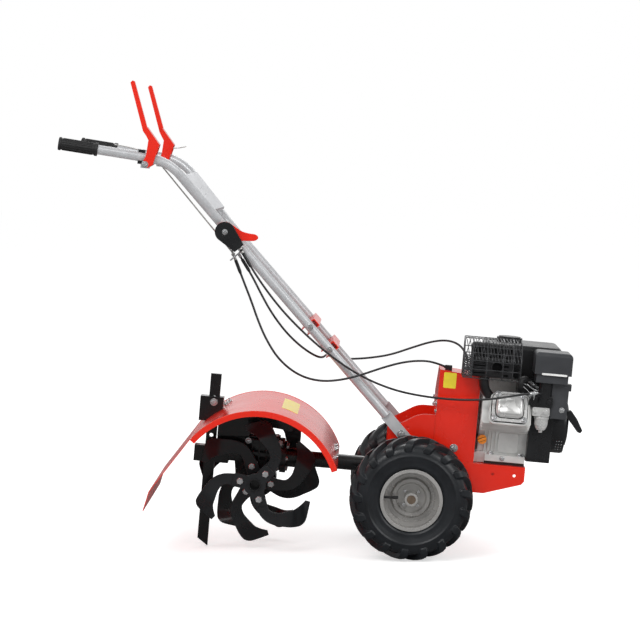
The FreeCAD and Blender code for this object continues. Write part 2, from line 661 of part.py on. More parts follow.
def tine_blade(outward):
    """One hoe blade at phase zero: a flat leg that sweeps through two arcs up to a slanting fold line, a bend
    about that line and the straight foot beyond it."""
    half, thick = number(D.tine_width) / 2, number(D.tine_thickness)
    root, bolt = number(D.tine_root), number(D.flange_bolt_circle) / 2
    centre = Vector(number(D.tine_curve_out), 0, number(D.tine_curve_up))
    outer, inner = centre.z + half, centre.z - half
    outer_end, inner_end = number(D.tine_sweep_outer) - 90, number(D.tine_sweep_inner) - 90
    outer_tip, inner_tip = polar_xz(centre, outer, outer_end), polar_xz(centre, inner, inner_end)
    face = Part.Face(Part.Wire([
        Part.LineSegment(Vector(root, 0, -half), Vector(centre.x, 0, -half)).toShape(),
        arc_xz(centre, outer, -90, outer_end),
        Part.LineSegment(outer_tip, inner_tip).toShape(),
        arc_xz(centre, inner, inner_end, -90),
        Part.LineSegment(Vector(centre.x, 0, half), Vector(root, 0, half)).toShape(),
        Part.LineSegment(Vector(root, 0, half), Vector(root, 0, -half)).toShape()]))
    lift = Vector(0, outward * thick, 0)
    hole = Part.makeCylinder(number(D.tine_bolt) / 2, thick, Vector(bolt, 0, 0), lift)
    leg = face.extrude(lift).cut(hole)
    end = Part.Face(Part.makePolygon([inner_tip, outer_tip, outer_tip + lift, inner_tip + lift, inner_tip]))
    fold_line = (outer_tip - inner_tip).normalize()
    pivot = inner_tip + lift * (1 + number(D.tine_fold) / thick)
    turn = -outward * number(D.tine_foot_turn)
    bend = end.revolve(pivot, fold_line, turn)
    foot_start = end.copy()
    foot_start.rotate(pivot, fold_line, turn)
    ahead = FreeCAD.Rotation(fold_line, turn).multVec(fold_line.cross(Vector(0, 1, 0)))
    foot = foot_start.extrude(ahead * number(D.tine_foot))
    return leg.fuse([bend, foot]).removeSplitter()


def tine_set(across, phase, name):
    """Three blades bolted to the outer face of one flange."""
    outward = 1 if across.value > 0 else -1
    blades = []
    for turn in range(3):
        blade = tine_blade(outward)
        blade.rotate(Vector(0, 0, 0), Vector(0, 1, 0), -phase - 120 * turn)
        blades.append(blade)
    return shaped(Part.makeCompound(blades), name, ROTOR_X, across + D.flange_thickness / 2 * outward, ROTOR_Z)


# ---- hood and depth stake -----------------------------------------------------------------------------------
STAKE_REAR = -D.stake_back - D.stake_width / 2
STAKE_FRONT = -D.stake_back + D.stake_width / 2


def hood():
    """Rolled tine hood with a turned-in rim along each side, notched over the drive tube and slotted for
    the stake."""
    roll = body()
    radius, half, skin = D.hood_radius, D.hood_width / 2, D.sheet_metal
    rim_in = radius - D.hood_rim
    section = [(radius, -half), (radius, half), (rim_in, half), (rim_in, half - skin), (radius - skin, half - skin),
               (radius - skin, skin - half), (rim_in, skin - half), (rim_in, -half)]
    revolve(roll, draw(roll, "XY", [section]), "V_Axis", D.hood_rear_angle - D.hood_front_angle, reverse=True)
    roll.Placement = FreeCAD.Placement(Vector(0, 0, 0), FreeCAD.Rotation(Vector(0, 1, 0), -D.hood_front_angle.value))
    bind(roll, "Placement.Rotation.Angle", -D.hood_front_angle)
    place(roll, -D.hood_back, 0, -D.hood_drop)
    gap = D.stake_slot_gap
    slot_half = D.stake_thickness / 2 + gap
    slot = box(STAKE_REAR - gap, STAKE_FRONT + gap, -slot_half, slot_half, 0, D.guide_top)
    front = D.hood_radius - D.hood_back
    notch = rod("X", D.drive_tube_diameter / 2, front - D.hood_radius / 2, front, 0, D.drive_tube_height)
    return seat(cut(roll, slot, notch), "hood")


def rear_flap():
    """Sheet flap bolted under the back edge of the hood, bent once near its lower edge."""
    piece = body()
    skin = D.sheet_metal
    spots = [(D.flap_knee_back, D.flap_knee_height), (D.flap_fold_back, -D.flap_fold_drop),
             (D.flap_tip_back, -D.flap_tip_drop)]
    outside = [(-back, height) for back, height in spots]
    inside = [(skin - back, height) for back, height in reversed(spots)]
    pad(piece, draw(piece, "XZ", [outside + inside]), D.hood_width - D.flap_inset * 2, middle=True)
    return seat(piece, "rear_flap")


def depth_stake():
    """Flat depth stake with a row of pin holes and a bevelled tip that stands on the floor."""
    piece = body()
    tip_z = (STAKE_FRONT * SIN_PITCH - WHEEL_RADIUS) / COS_PITCH
    outline = [(STAKE_REAR, D.stake_top), (STAKE_FRONT, D.stake_top), (STAKE_FRONT, tip_z),
               (STAKE_REAR, tip_z + D.stake_tip_cut)]
    pad(piece, draw(piece, "XZ", [outline]), D.stake_thickness, middle=True)
    spots = []
    for step in range(6):
        height = D.stake_top - D.stake_first_hole - D.stake_hole_step * step
        spots.append((-D.stake_back, height, D.stake_hole / 2))
    pocket(piece, draw(piece, "XZ", [], 0, spots))
    return seat(piece, "depth_stake")


def stake_room(low, top):
    """The space of the stake with its sliding clearance."""
    gap = D.stake_gap
    half = D.stake_thickness / 2 + gap
    return box(STAKE_REAR - gap, STAKE_FRONT + gap, -half, half, low - PAST, top + PAST)


def stake_guide():
    """Upper guide, shaped underneath to the roll of the hood that it is bolted to."""
    outer = box(STAKE_REAR - D.guide_behind, STAKE_FRONT + D.guide_ahead, -D.guide_half, D.guide_half,
                D.guide_low, D.guide_top)
    hood_roll = rod("Y", D.hood_radius, -D.guide_half - PAST, D.guide_half + PAST, -D.hood_back, -D.hood_drop)
    return seat(cut(outer, hood_roll, stake_room(D.guide_low, D.guide_top)), "stake_guide")


def stake_arm():
    """Lower guide and the arm that carries it from the tine gearbox."""
    outer = box(STAKE_REAR - D.arm_socket_behind, STAKE_FRONT + D.arm_socket_ahead, -D.arm_socket_half,
                D.arm_socket_half, D.arm_socket_low, D.arm_socket_top)
    arm = box(STAKE_FRONT + D.arm_socket_ahead / 2, ROTOR_X - D.worm_behind, -D.arm_half, D.arm_half,
              D.arm_low, D.arm_top)
    room = stake_room(D.arm_socket_low, D.arm_socket_top)
    return seat(cut(fuse(outer, arm), room), "stake_arm")


# ---- handlebars ---------------------------------------------------------------------------------------------
def by_bar(reach, drop):
    """Point a distance up the straight part of the handlebars and a distance under their centre line."""
    x = -D.bar_low_back - reach * cosine(D.bar_slope) - drop * sine(D.bar_slope)
    z = D.bar_low_height + reach * sine(D.bar_slope) - drop * cosine(D.bar_slope)
    return x, z


def bar_points(side):
    """Corners of one handlebar's centre line: foot, split, knee and end."""
    inset = D.bar_spacing / 2 * side
    split_x, split_z = by_bar(D.split_reach, 0)
    corners = [(-D.bar_low_back, inset, D.bar_low_height), (split_x, inset, split_z),
               (-D.knee_back, D.knee_half * side, D.knee_height),
               (-D.bar_end_back, D.bar_end_half * side, D.bar_end_height)]
    return [Vector(*[number(size) for size in corner]) for corner in corners]


def bar_path(side):
    return rounded_path(bar_points(side), [number(D.split_bend), number(D.knee_bend)])


def handlebar(side, name):
    """Bent tube from the flattened foot on the side plate to the grip, with the lever's tab under it."""
    radius = number(D.bar_diameter) / 2
    points, path = bar_points(side), bar_path(side)
    tube = swept(path, radius, radius - number(D.bar_wall))
    thick, width = number(D.bar_spacing - D.frame_width), number(D.foot_width)
    overlap = radius * 0.3
    foot = Part.makeBox(number(D.foot_length), thick, width, Vector(-overlap, -thick / 2, -width / 2))
    foot.rotate(Vector(0, 0, 0), Vector(0, 1, 0), number(D.bar_slope))
    foot.translate(points[0])
    bolt = Part.makeCylinder(number(D.bar_bolt_diameter) / 2, thick * 3,
                             Vector(-number(D.foot_bolt_back), points[0].y - thick * 1.5, number(D.foot_bolt_height)),
                             Vector(0, 1, 0))
    across, half = number(D.lever_half * side), number(D.tab_half)
    tab = Part.makeBox(number(D.tab_length), half * 2, number(D.tab_top - D.tab_low),
                       Vector(-number(D.pivot_back) - number(D.tab_length) / 2, across - half, number(D.tab_low)))
    hollow = swept(path, radius - number(D.bar_wall))
    pin_room = pivot_pin(across, half + PAST, D.pivot_play / 2)
    shape = tube.fuse(foot.cut(bolt)).fuse(tab.cut(hollow)).cut(pin_room).removeSplitter()
    return shaped(shape, "handlebar_" + name)


def pivot_pin(across, half, play=0):
    radius = number(D.pivot_diameter) / 2 + number(play)
    return Part.makeCylinder(radius, half * 2, Vector(-number(D.pivot_back), across - half, number(D.pivot_height)),
                             Vector(0, 1, 0))


def grip(side, name):
    """Soft grip pushed over the end of the handlebar."""
    knee, end = bar_points(side)[2:]
    inwards = (knee - end).normalize()
    cap = number(D.grip_cap)
    sleeve = Part.makeCylinder(number(D.grip_diameter) / 2, number(D.grip_length), end - inwards * cap, inwards)
    bore = Part.makeCylinder(number(D.bar_diameter) / 2, number(D.grip_length), end, inwards)
    return shaped(sleeve.cut(bore), "grip_" + name)


def bar_brace(reach, name):
    """Folded channel across the two handlebars, open underneath."""
    piece = body()
    half, depth, skin = D.brace_length / 2, D.brace_depth / 2, D.brace_skin
    outline = [by_bar(reach - half, -depth), by_bar(reach + half, -depth), by_bar(reach + half, depth),
               by_bar(reach + half - skin, depth), by_bar(reach + half - skin, skin - depth),
               by_bar(reach - half + skin, skin - depth), by_bar(reach - half + skin, depth),
               by_bar(reach - half, depth)]
    pad(piece, draw(piece, "XZ", [outline]), D.bar_spacing - D.bar_diameter, middle=True)
    return seat(piece, "bar_brace_" + name)


def bar_plate():
    """Blank plate across the spreading part of the handlebars, wider at its upper end."""
    _, split, knee, _ = bar_points(1)
    rise = Vector(knee.x - split.x, 0, knee.z - split.z)
    slope = rise.Length
    rise.normalize()
    up = Vector(rise.z, 0, -rise.x)
    on_top = number(D.bar_diameter) / 2
    corners = []
    for back in (number(D.sign_low), number(D.sign_high)):
        share = (back + split.x) / (split.x - knee.x)
        at = Vector(split.x, 0, split.z) + rise * (slope * share) + up * on_top
        half = split.y + (knee.y - split.y) * share
        corners.append([at - Vector(0, half, 0), at + Vector(0, half, 0)])
    low, high = corners
    outline = Part.makePolygon([low[0], low[1], high[1], high[0], low[0]])
    return shaped(Part.Face(outline).extrude(up * number(D.sign_thickness)), "bar_plate")


# ---- levers and throttle ------------------------------------------------------------------------------------
LEVER_WIDTH = D.bar_diameter + D.lever_room


def lever(side, name):
    """Control lever: a channel that straddles the handlebar, its blade and its pivot pin."""
    piece = body()
    half, skin = LEVER_WIDTH / 2, D.lever_skin
    centre = D.lever_half * side
    foot_x, foot_z = -D.pivot_back, D.pivot_height
    radius = D.pivot_diameter
    crest, elbow = (-778, 920), (-742, 877)
    outline = [(foot_x - radius, foot_z), (foot_x - radius * 0.6, foot_z - radius), (foot_x + radius, foot_z - radius),
               (-755, 823), (-749, 850), elbow, crest, (-785, 907), (-772, 886), (-775, 846)]
    pad(piece, draw(piece, "XZ", [outline], centre), half * 2, middle=True)
    inner_crest, inner_elbow = (-782, 919), (-746, 876)
    gap = [(-800, 800), (-730, 800), (-740, 850), inner_elbow, inner_crest, (-800, 920)]
    pocket(piece, draw(piece, "XZ", [gap], centre), (half - skin) * 2)
    blade = [(-831, 1032), (-826, 1038), (-820, 1036), crest, (-766, 900), (-778, 896), (-788, 908)]
    outer = centre + (half - skin * 2) * side
    pad(piece, draw(piece, "XZ", [blade], outer), skin * 4, middle=True)
    across = number(centre)
    pin = held(pivot_pin(across, number(half - skin)))
    return seat(fuse(piece, pin), "lever_" + name)


THROTTLE_OUTER = D.bar_spacing / 2 + D.bar_diameter / 2


def throttle_lever():
    """Red hand lever of the throttle: a disc behind the housing with a paddle at its edge."""
    piece = body()
    x, z = by_bar(D.throttle_reach, D.throttle_drop)
    radius = D.throttle_radius + D.throttle_rim
    near_face = -THROTTLE_OUTER - D.throttle_lever_depth
    middle = (near_face - THROTTLE_OUTER) / 2
    pad(piece, draw(piece, "XZ", [], middle, [(x, z, radius)]), D.throttle_lever_depth, middle=True)
    reach = D.throttle_reach
    paddle = [by_bar(reach + 8, -18), by_bar(reach - 14, -32), by_bar(reach - 48, -46), by_bar(reach - 72, -55),
              by_bar(reach - 77, -47), by_bar(reach - 70, -38), by_bar(reach - 50, -12), by_bar(reach, 0)]
    pad(piece, draw(piece, "XZ", [paddle], middle), D.throttle_lever_depth, middle=True)
    bar = swept(bar_path(-1), number(D.bar_diameter) / 2)
    return seat(cut(piece, held(bar)), "throttle_lever")


def throttle_housing():
    """Teardrop housing outside the lever, with the ferrule that the throttle cable leaves by."""
    piece = body()
    x, z = by_bar(D.throttle_reach, D.throttle_drop)
    radius, tail, half = D.throttle_radius, D.throttle_tail, D.throttle_tail_half
    middle = -THROTTLE_OUTER - D.throttle_lever_depth - D.throttle_depth / 2
    pad(piece, draw(piece, "XZ", [], middle, [(x, z, radius)]), D.throttle_depth, middle=True)
    lower = D.throttle_reach - tail
    wide = radius * 0.97
    aside = radius * 0.24
    outline = [by_bar(D.throttle_reach - aside, D.throttle_drop - wide), by_bar(lower, D.throttle_drop - half),
               by_bar(lower, D.throttle_drop + half), by_bar(D.throttle_reach - aside, D.throttle_drop + wide)]
    pad(piece, draw(piece, "XZ", [outline], middle), D.throttle_depth, middle=True)
    return seat(fuse(piece, held(ferrule(THROTTLE_ROUTE, 0))), "throttle_housing")


# ---- cables -------------------------------------------------------------------------------------------------
# Control points of each cable's route, chosen by hand in the machine frame; the arcs fill their corners.
CLUTCH_ROUTE = [(-527, -104, 590), (-515, -106, 565), (-496, -110, 526), (-472, -115, 478), (-451, -120, 431),
                (-424, -126, 381), (-385, -134, 330), (-330, -141, 294), (-272, -147, 283), (-214, -151, 292),
                (-159, -153, 312), (-102, -147, 337), (-47, -130, 355), (4, -112, 361), (38, -97, 356),
                (62, -90, 348)]
DRIVE_ROUTE = [(-511, -108, 594), (-494, -109, 571), (-473, -110, 541), (-446, -111, 497), (-417, -112, 454),
               (-379, -112, 410), (-341, -110, 377), (-306, -100, 354), (-280, -76, 341), (-268, -30, 338),
               (-264, 20, 338), (-261, 74, 336), (-250, 118, 328), (-222, 142, 322), (-180, 152, 324),
               (-132, 153, 332), (-81, 152, 345), (-26, 146, 370), (28, 130, 394), (72, 106, 404),
               (106, 82, 396), (126, 66, 370), (132, 60, 342), (132, 60.5, 317)]
THROTTLE_ROUTE = [(-508, -144, 613), (-491, -144, 588), (-464, -144, 551), (-425, -143, 504), (-382, -142, 459),
                  (-335, -141, 418), (-286, -141, 380), (-236, -142, 347), (-183, -143, 317), (-125, -144, 293),
                  (-62, -145, 276), (5, -145, 268), (71, -147, 266), (135, -157, 270), (196, -176, 281),
                  (240, -187, 293), (272, -183, 301), (295, -172, 304)]


def ends_of(route, end):
    """The first or last point of a route and the direction that leads out of the cable there."""
    spots = [Vector(*point) for point in route]
    at, inside = (spots[0], spots[1]) if end == 0 else (spots[-1], spots[-2])
    return at, (at - inside).normalize()


def ferrule(route, end):
    """Collar that holds one end of a cable, butted against it."""
    at, outwards = ends_of(route, end)
    return Part.makeCylinder(number(D.ferrule_diameter) / 2, number(D.ferrule_length), at, outwards)


def cable(route, label):
    """One cable sheath; every arc is as large as the shorter of its two runs allows."""
    spots = [Vector(*point) for point in route]
    bends = []
    for before, corner, after in zip(spots, spots[1:], spots[2:]):
        back, ahead = before - corner, after - corner
        half_turn = (math.pi - back.getAngle(ahead)) / 2
        bends.append(0.45 * min(back.Length, ahead.Length) / math.tan(half_turn))
    radius = number(D.cable_diameter) / 2
    path = rounded_path(route, bends)
    sheath = swept(path, radius)
    drawn = math.pi * radius * radius * path.Length
    print(label, "length %.0f" % path.Length, "smallest radius %.0f" % min(bends),
          "volume ratio %.4f" % (sheath.Volume / drawn), "longest run %.0f"
          % max((b - a).Length for a, b in zip(spots, spots[1:])))
    return shaped(sheath, label)


def grommet_centres():
    """Where the clutch and drive cables enter the roof of the belt cover."""
    clutch_end, clutch_out = ends_of(CLUTCH_ROUTE, -1)
    drive_end, _ = ends_of(DRIVE_ROUTE, -1)
    inset = number(D.grommet_half + 2)
    return [Vector(clutch_end.x + inset, clutch_end.y + clutch_out.y * inset, 0), Vector(drive_end.x, drive_end.y, 0)]


GROMMETS = grommet_centres()


def cable_grommets():
    """Rubber blocks that fill the two slots in the belt cover's roof, each with its cable's ferrule."""
    blocks = []
    half = number(D.grommet_half)
    below = number(D.cover_top_front) - half * 2
    floors = (below, below - number(D.far_grommet_top) / 10)
    tops = (number(D.grommet_top), number(D.far_grommet_top))
    for spot, floor, top, route in zip(GROMMETS, floors, tops, (CLUTCH_ROUTE, DRIVE_ROUTE)):
        block = Part.makeBox(half * 2, half * 2, top - floor, Vector(spot.x - half, spot.y - half, floor))
        blocks.append(block.fuse(ferrule(route, -1)).removeSplitter())
    return shaped(Part.makeCompound(blocks), "cable_grommets")


def cable_stop():
    """Plate under the right handlebar that holds the sheaths of the clutch and drive cables."""
    piece = body()
    low, high = D.stop_reach, D.stop_reach + D.stop_plate
    touch = D.bar_diameter / 2
    outline = [by_bar(low, touch), by_bar(high, touch), by_bar(high, D.stop_depth), by_bar(low, D.stop_depth)]
    middle = -(D.stop_outer + D.stop_inner) / 2
    pad(piece, draw(piece, "XZ", [outline], middle), D.stop_outer - D.stop_inner, middle=True)
    collars = [held(ferrule(route, 0)) for route in (CLUTCH_ROUTE, DRIVE_ROUTE)]
    return seat(fuse(piece, *collars), "cable_stop")


def control_rod():
    """Straight rod from the right lever's cheek to the clutch cable's ferrule."""
    radius = number(D.control_rod_diameter) / 2
    at, outwards = ends_of(CLUTCH_ROUTE, 0)
    low = at + outwards * number(D.ferrule_length)
    cheek = -number(D.lever_half - LEVER_WIDTH / 2)
    high = Vector(-750, cheek + radius, 837)
    rod_body = Part.makeCylinder(radius, (high - low).Length, low, high - low)
    return shaped(rod_body.cut(ferrule(CLUTCH_ROUTE, 0)), "control_rod")


# ---- engine -------------------------------------------------------------------------------------------------
CRANK_Z = D.engine_base + D.crank_height
TANK_FLOOR = CRANK_Z + D.tank_rise
TANK_TOP = TANK_FLOOR + D.tank_height


def upright(x0, x1, y0, y1, z0, z1, radius, chosen=along("Z")):
    """Rounded block between two corners of its piece's frame."""
    piece = body()
    pad(piece, draw(piece, "XY", [rectangle(x0, x1, y0, y1)], z0), as_size(z1) - z0)
    round_off(piece, radius, chosen)
    return piece


def engine_spacer():
    """Rubber-faced spacer between the deck and the engine's feet."""
    return seat(box(D.foot_rear, D.foot_front, -D.spacer_half, D.spacer_half, D.deck_height, D.engine_base,
                    corner=False), "engine_spacer", D.foot_rear, -D.spacer_half, D.deck_height)


def crankcase():
    """Crankcase on its foot flange, with the output shaft boss at the back and the tank's legs on top."""
    foot = box(D.foot_rear, D.foot_front, -D.foot_half, D.foot_half, D.engine_base, D.engine_base + D.foot_height)
    case = body()
    outline = rectangle(-D.case_right, D.case_left, D.engine_base + D.foot_height / 2, D.case_top)
    pad(case, draw(case, "YZ", [outline], D.engine_rear), D.engine_front - D.engine_rear)
    round_off(case, D.foot_height / 2, along("X"))
    bearing = rod("X", D.bearing_radius, D.engine_rear - D.bearing_boss, D.engine_rear + PAST, 0, CRANK_Z)
    shaft = rod("X", D.crank_diameter / 2, D.cover_front - D.crank_reach, D.engine_rear, 0, CRANK_Z)
    legs = []
    for across in (-D.tank_right / 2, D.tank_left / 2):
        legs.append(box(D.foot_rear, D.foot_front, across, across + D.tank_leg, D.case_top, TANK_FLOOR))
    return seat(fuse(foot, case, bearing, shaft, *legs), "crankcase")


def cylinder_head():
    """Finned cylinder and head that lean out and up from the right side of the crankcase."""
    length = D.cylinder_length
    root = length / 2
    parts = [box(-D.core_half, D.core_half, -length, root, -D.core_height, D.core_height)]
    for step in range(7):
        out = length - D.fin_pitch * step
        parts.append(box(-D.fin_rear, D.fin_front, -out, D.fin_thickness - out, -D.fin_height, D.fin_height))
    block = lean(fuse(*parts), D.cylinder_forward, -D.case_right, D.cylinder_height, D.cylinder_lean)
    case_side = box(0, D.engine_front * 2, -D.case_right, D.case_left, 0, TANK_TOP)
    return seat(cut(block, case_side), "cylinder_head")


def valve_cover():
    """Valve cover: bolted flange and a domed six-sided lid."""
    flange = body()
    wide, high, thick = D.cover_flange_half, D.cover_flange_height, D.cover_flange
    face = -D.cylinder_length - thick
    pad(flange, draw(flange, "XZ", [rectangle(-wide, wide, -high, high)], face + thick / 2), thick, middle=True)
    round_off(flange, D.cover_round, along("Y"))
    waist = wide * 0.85
    lid = [(waist * 0.8, -high * 0.75), (waist, -high * 0.15), (waist * 0.65, high * 0.9),
           (-waist * 0.65, high * 0.9), (-waist, -high * 0.15), (-waist * 0.8, -high * 0.75)]
    pad(flange, draw(flange, "XZ", [lid], face - D.cover_dome / 2), D.cover_dome + PAST, middle=True)
    round_off(flange, D.cover_round, along("Y"))
    round_off(flange, D.cover_round / 2, lambda spot, edge: near(spot.y, face - D.cover_dome / 2 - D.cover_dome / 2
                                                                 - PAST / 2, 0.6))
    posed = lean(fuse(flange, box(-waist / 2, waist / 2, face, face + thick, -high / 2, high / 2)),
                 D.cylinder_forward, -D.case_right, D.cylinder_height, D.cylinder_lean)
    return seat(cut(posed, box(0, 1, 0, 1, 0, 1)), "valve_cover")


def cage_form(inset, rear, front, floor, back):
    """Block with the muffler's sloping shoulder, rounded at its ends."""
    piece = body()
    face, crest, top = D.guard_front - inset, D.guard_crest - inset / 3, D.guard_top - inset
    outline = [(-face, floor), (-face, D.guard_shoulder - inset / 3), (-crest, top - inset / 3), (-back, top),
               (-back, floor)]
    pad(piece, draw(piece, "YZ", [outline], rear), front - rear)
    round_off(piece, D.guard_round - inset / 2,
              lambda spot, edge: near(spot.y, -face) and abs(edge.BoundBox.ZLength - edge.Length) < 0.01)
    return piece


def muffler():
    """Muffler with its tail opening, a row of slots in the shoulder and the pipe down to the cylinder head."""
    floor = D.guard_floor + D.muffler_lift
    form = cage_form(D.muffler_inset, D.muffler_rear, D.muffler_end, floor, D.guard_back)
    face = D.guard_front - D.muffler_inset
    tail_x = (D.muffler_rear + D.muffler_end * 2) / 3
    tail_z = (D.guard_floor + D.guard_shoulder) / 2
    tail = rod("Y", D.tail_hole / 2, -face - PAST, D.tail_hole / 2 - face, tail_x, tail_z)
    slots = []
    for step in range(7):
        x = D.muffler_rear + D.slot_start + D.slot_pitch * step
        slots.append(box(x, x + D.slot_width, -face - PAST, 8 - D.guard_crest, D.guard_shoulder - 6,
                         D.guard_shoulder + 14))
    pipe_x = D.cylinder_forward - D.fin_rear / 2
    pipe = rod("Z", D.pipe_diameter / 2, D.cylinder_height + D.core_height, floor + PAST, pipe_x,
               -D.guard_crest + D.pipe_diameter / 2)
    return seat(fuse(cut(form, tail, *slots), cut(pipe, head_room())), "muffler")


def head_room():
    """The space of the leaning cylinder and head, to end the exhaust pipe on."""
    room = box(-D.fin_rear, D.fin_front, -D.cylinder_length - D.cover_flange, D.cylinder_length / 2,
               -D.fin_height, D.fin_height)
    return lean(fuse(room, box(0, 1, 0, 1, 0, 1)), D.cylinder_forward, -D.case_right, D.cylinder_height,
                D.cylinder_lean)


def spaced(first, last, pitch):
    """Places from the first size up to the last, one pitch apart."""
    count = int(number(last - first) / number(pitch)) + 1
    return [first + pitch * step for step in range(count)]


def muffler_guard():
    """Wire cage round the muffler: the skin of its form, kept only where its wires run."""
    wire, pitch = D.guard_wire, D.guard_pitch
    outer = cage_form(0, D.guard_rear, D.guard_end, D.guard_floor, D.guard_back)
    inner = cage_form(wire, D.guard_rear + wire, D.guard_end - wire, D.guard_floor - PAST, D.guard_back - PAST)
    low, high = -D.guard_front - PAST, -D.guard_back + PAST
    wires = []
    for x in spaced(D.guard_rear, D.guard_end, pitch):
        wires.append(box(x, x + wire, low, high, D.guard_floor - PAST, D.guard_top + PAST))
    for z in spaced(D.guard_floor, D.guard_top, D.guard_rise):
        wires.append(box(D.guard_rear - PAST, D.guard_end + PAST, low, high, z, z + wire))
    for y in spaced(-D.guard_front, -D.guard_back, D.guard_rise):
        wires.append(box(D.guard_rear - PAST, D.guard_end + PAST, y, y + wire, D.guard_floor - PAST,
                         D.guard_top + PAST))
    made = doc.addObject("Part::MultiCommon", "cage")
    made.Shapes = [cut(outer, inner), fuse(*wires)]
    lug_face, lug = D.muffler_inset - D.guard_front, D.guard_lug
    lugs = [box(x, x + lug, -D.guard_front, lug_face, D.guard_floor, D.guard_floor + lug / 2)
            for x in (D.muffler_rear + lug * 2, D.muffler_end - lug * 3)]
    return seat(fuse(made, *lugs), "muffler_guard")


def fuel_tank():
    tank = upright(D.tank_rear, D.tank_front, -D.tank_right, D.tank_left, TANK_FLOOR, TANK_TOP, D.tank_round)
    round_off(tank, D.tank_round * 0.6, lambda spot, edge: near(spot.z, TANK_TOP))
    return seat(tank, "fuel_tank")


def fuel_cap():
    radius, top = D.cap_diameter / 2, TANK_TOP + D.cap_height
    rim = rod("Z", radius, TANK_TOP, top, D.cap_forward, D.cap_left)
    crown = rod("Z", radius * 0.85, top, top + D.cap_height / 4, D.cap_forward, D.cap_left)
    return seat(fuse(rim, crown), "fuel_cap")


def air_cleaner():
    """Air cleaner: tapered base and the lid that overhangs it."""
    step = D.cleaner_step
    base = box(D.cleaner_rear + step, D.cleaner_front - step * 1.3, step - D.cleaner_right, D.cleaner_left * -1,
               D.cleaner_floor, D.cleaner_seam)
    lid = upright(D.cleaner_rear, D.cleaner_front, -D.cleaner_right, -D.cleaner_left, D.cleaner_seam, D.cleaner_top,
                  D.cleaner_round, lambda spot, edge: near(spot.z, D.cleaner_top))
    return seat(fuse(base, lid), "air_cleaner")


def fan_shroud():
    """Blower housing across the front of the crankcase, squared off at its lower right."""
    drum = rod("X", D.shroud_radius, D.engine_front, D.shroud_front, 0, CRANK_Z)
    side = body()
    outline = rectangle(-D.shroud_right, 0, D.shroud_low, D.shroud_side_top)
    pad(side, draw(side, "YZ", [outline], D.engine_front), D.shroud_front - D.engine_front)
    round_off(side, D.cleaner_round, along("X"))
    return seat(fuse(drum, side), "fan_shroud")


def recoil_cover():
    """Recoil starter cover turned about the crankshaft, with a flat rim for the starter grip."""
    piece = body()
    start, front, nose = D.shroud_front, D.recoil_front, D.nose_front
    profile = [(start, 0), (start, D.recoil_radius), (front - 6, D.recoil_radius), (front, D.recoil_rim),
               (front, D.nose_radius), (nose - 2, D.nose_radius - 3), (nose, D.nose_radius - 12), (nose, 0)]
    revolve(piece, draw(piece, "XY", [profile]))
    return seat(piece, "recoil_cover", 0, 0, CRANK_Z)


def carburettor():
    """Carburettor body and float bowl, the elbow up to the air cleaner and the throttle cable's bracket."""
    start = D.cylinder_forward + D.fin_front
    throat = box(start, D.carb_front, -D.carb_right, -D.carb_left, D.carb_low, D.carb_top)
    elbow = box(D.elbow_rear, D.elbow_front, 5 - D.carb_right, 2 - D.carb_left, D.carb_top - PAST, D.cleaner_floor)
    across = -(D.carb_right + D.carb_left) / 2
    bowl = rod("Z", D.bowl_radius, D.bowl_low, D.carb_low + PAST, D.bowl_forward, across)
    drain = rod("Z", D.bowl_radius / 3, D.bowl_low - 5, D.bowl_low + PAST, D.bowl_forward, across)
    at, _ = ends_of(THROTTLE_ROUTE, -1)
    reach, half = number(D.ferrule_length) - 3, number(D.ferrule_diameter) / 2
    plate = box(at.x + reach / 2, at.x + 32, at.y - half, 8 - D.carb_right, at.z - 2, at.z + 2)
    return seat(fuse(throat, elbow, bowl, drain, plate, held(ferrule(THROTTLE_ROUTE, -1))), "carburettor")


def control_panel():
    """Switch panel in front of the blower housing, wider at its head."""
    piece = body()
    half = (D.panel_right - D.shroud_right) / 2
    outline = [(D.panel_rear, D.panel_low), (D.panel_front, D.panel_low), (D.panel_front, D.panel_head),
               (D.panel_front + 6, D.panel_head), (D.panel_front + 6, D.panel_top),
               (D.panel_rear - 6, D.panel_top), (D.panel_rear - 6, D.panel_head), (D.panel_rear, D.panel_head)]
    pad(piece, draw(piece, "XZ", [outline], -D.shroud_right - half), half * 2, middle=True)
    return seat(piece, "control_panel")


def starter_grip():
    """Curved pull grip that rests against the rim of the recoil cover."""
    grip_body = body()
    x = D.recoil_front
    outline = [(x + ahead, CRANK_Z + rise) for ahead, rise in
               ((0, 26), (0, 44), (10, 47), (28, 25), (45, -5), (40, -13), (31, -10), (16, 8))]
    pad(grip_body, draw(grip_body, "XZ", [outline], -D.starter_across), D.starter_width, middle=True)
    round_off(grip_body, 4, along("Y"))
    nose = rod("X", D.nose_radius, D.recoil_front - PAST, D.nose_front, 0, CRANK_Z)
    return seat(cut(grip_body, nose), "starter_grip")


def dipstick():
    start = -D.case_right
    stem = rod("Y", D.dipstick_stem / 2, start - 8, start, D.dipstick_forward, D.dipstick_height)
    knob = rod("Y", D.dipstick_knob / 2, start - 18, start - 7, D.dipstick_forward, D.dipstick_height)
    return seat(fuse(stem, knob), "dipstick")


# ---- assembly -----------------------------------------------------------------------------------------------
# Turn of each flange's first blade, from the right-hand end of the rotor to the left.
PHASES = (170.3, 112.0, 81.0, 21.0)

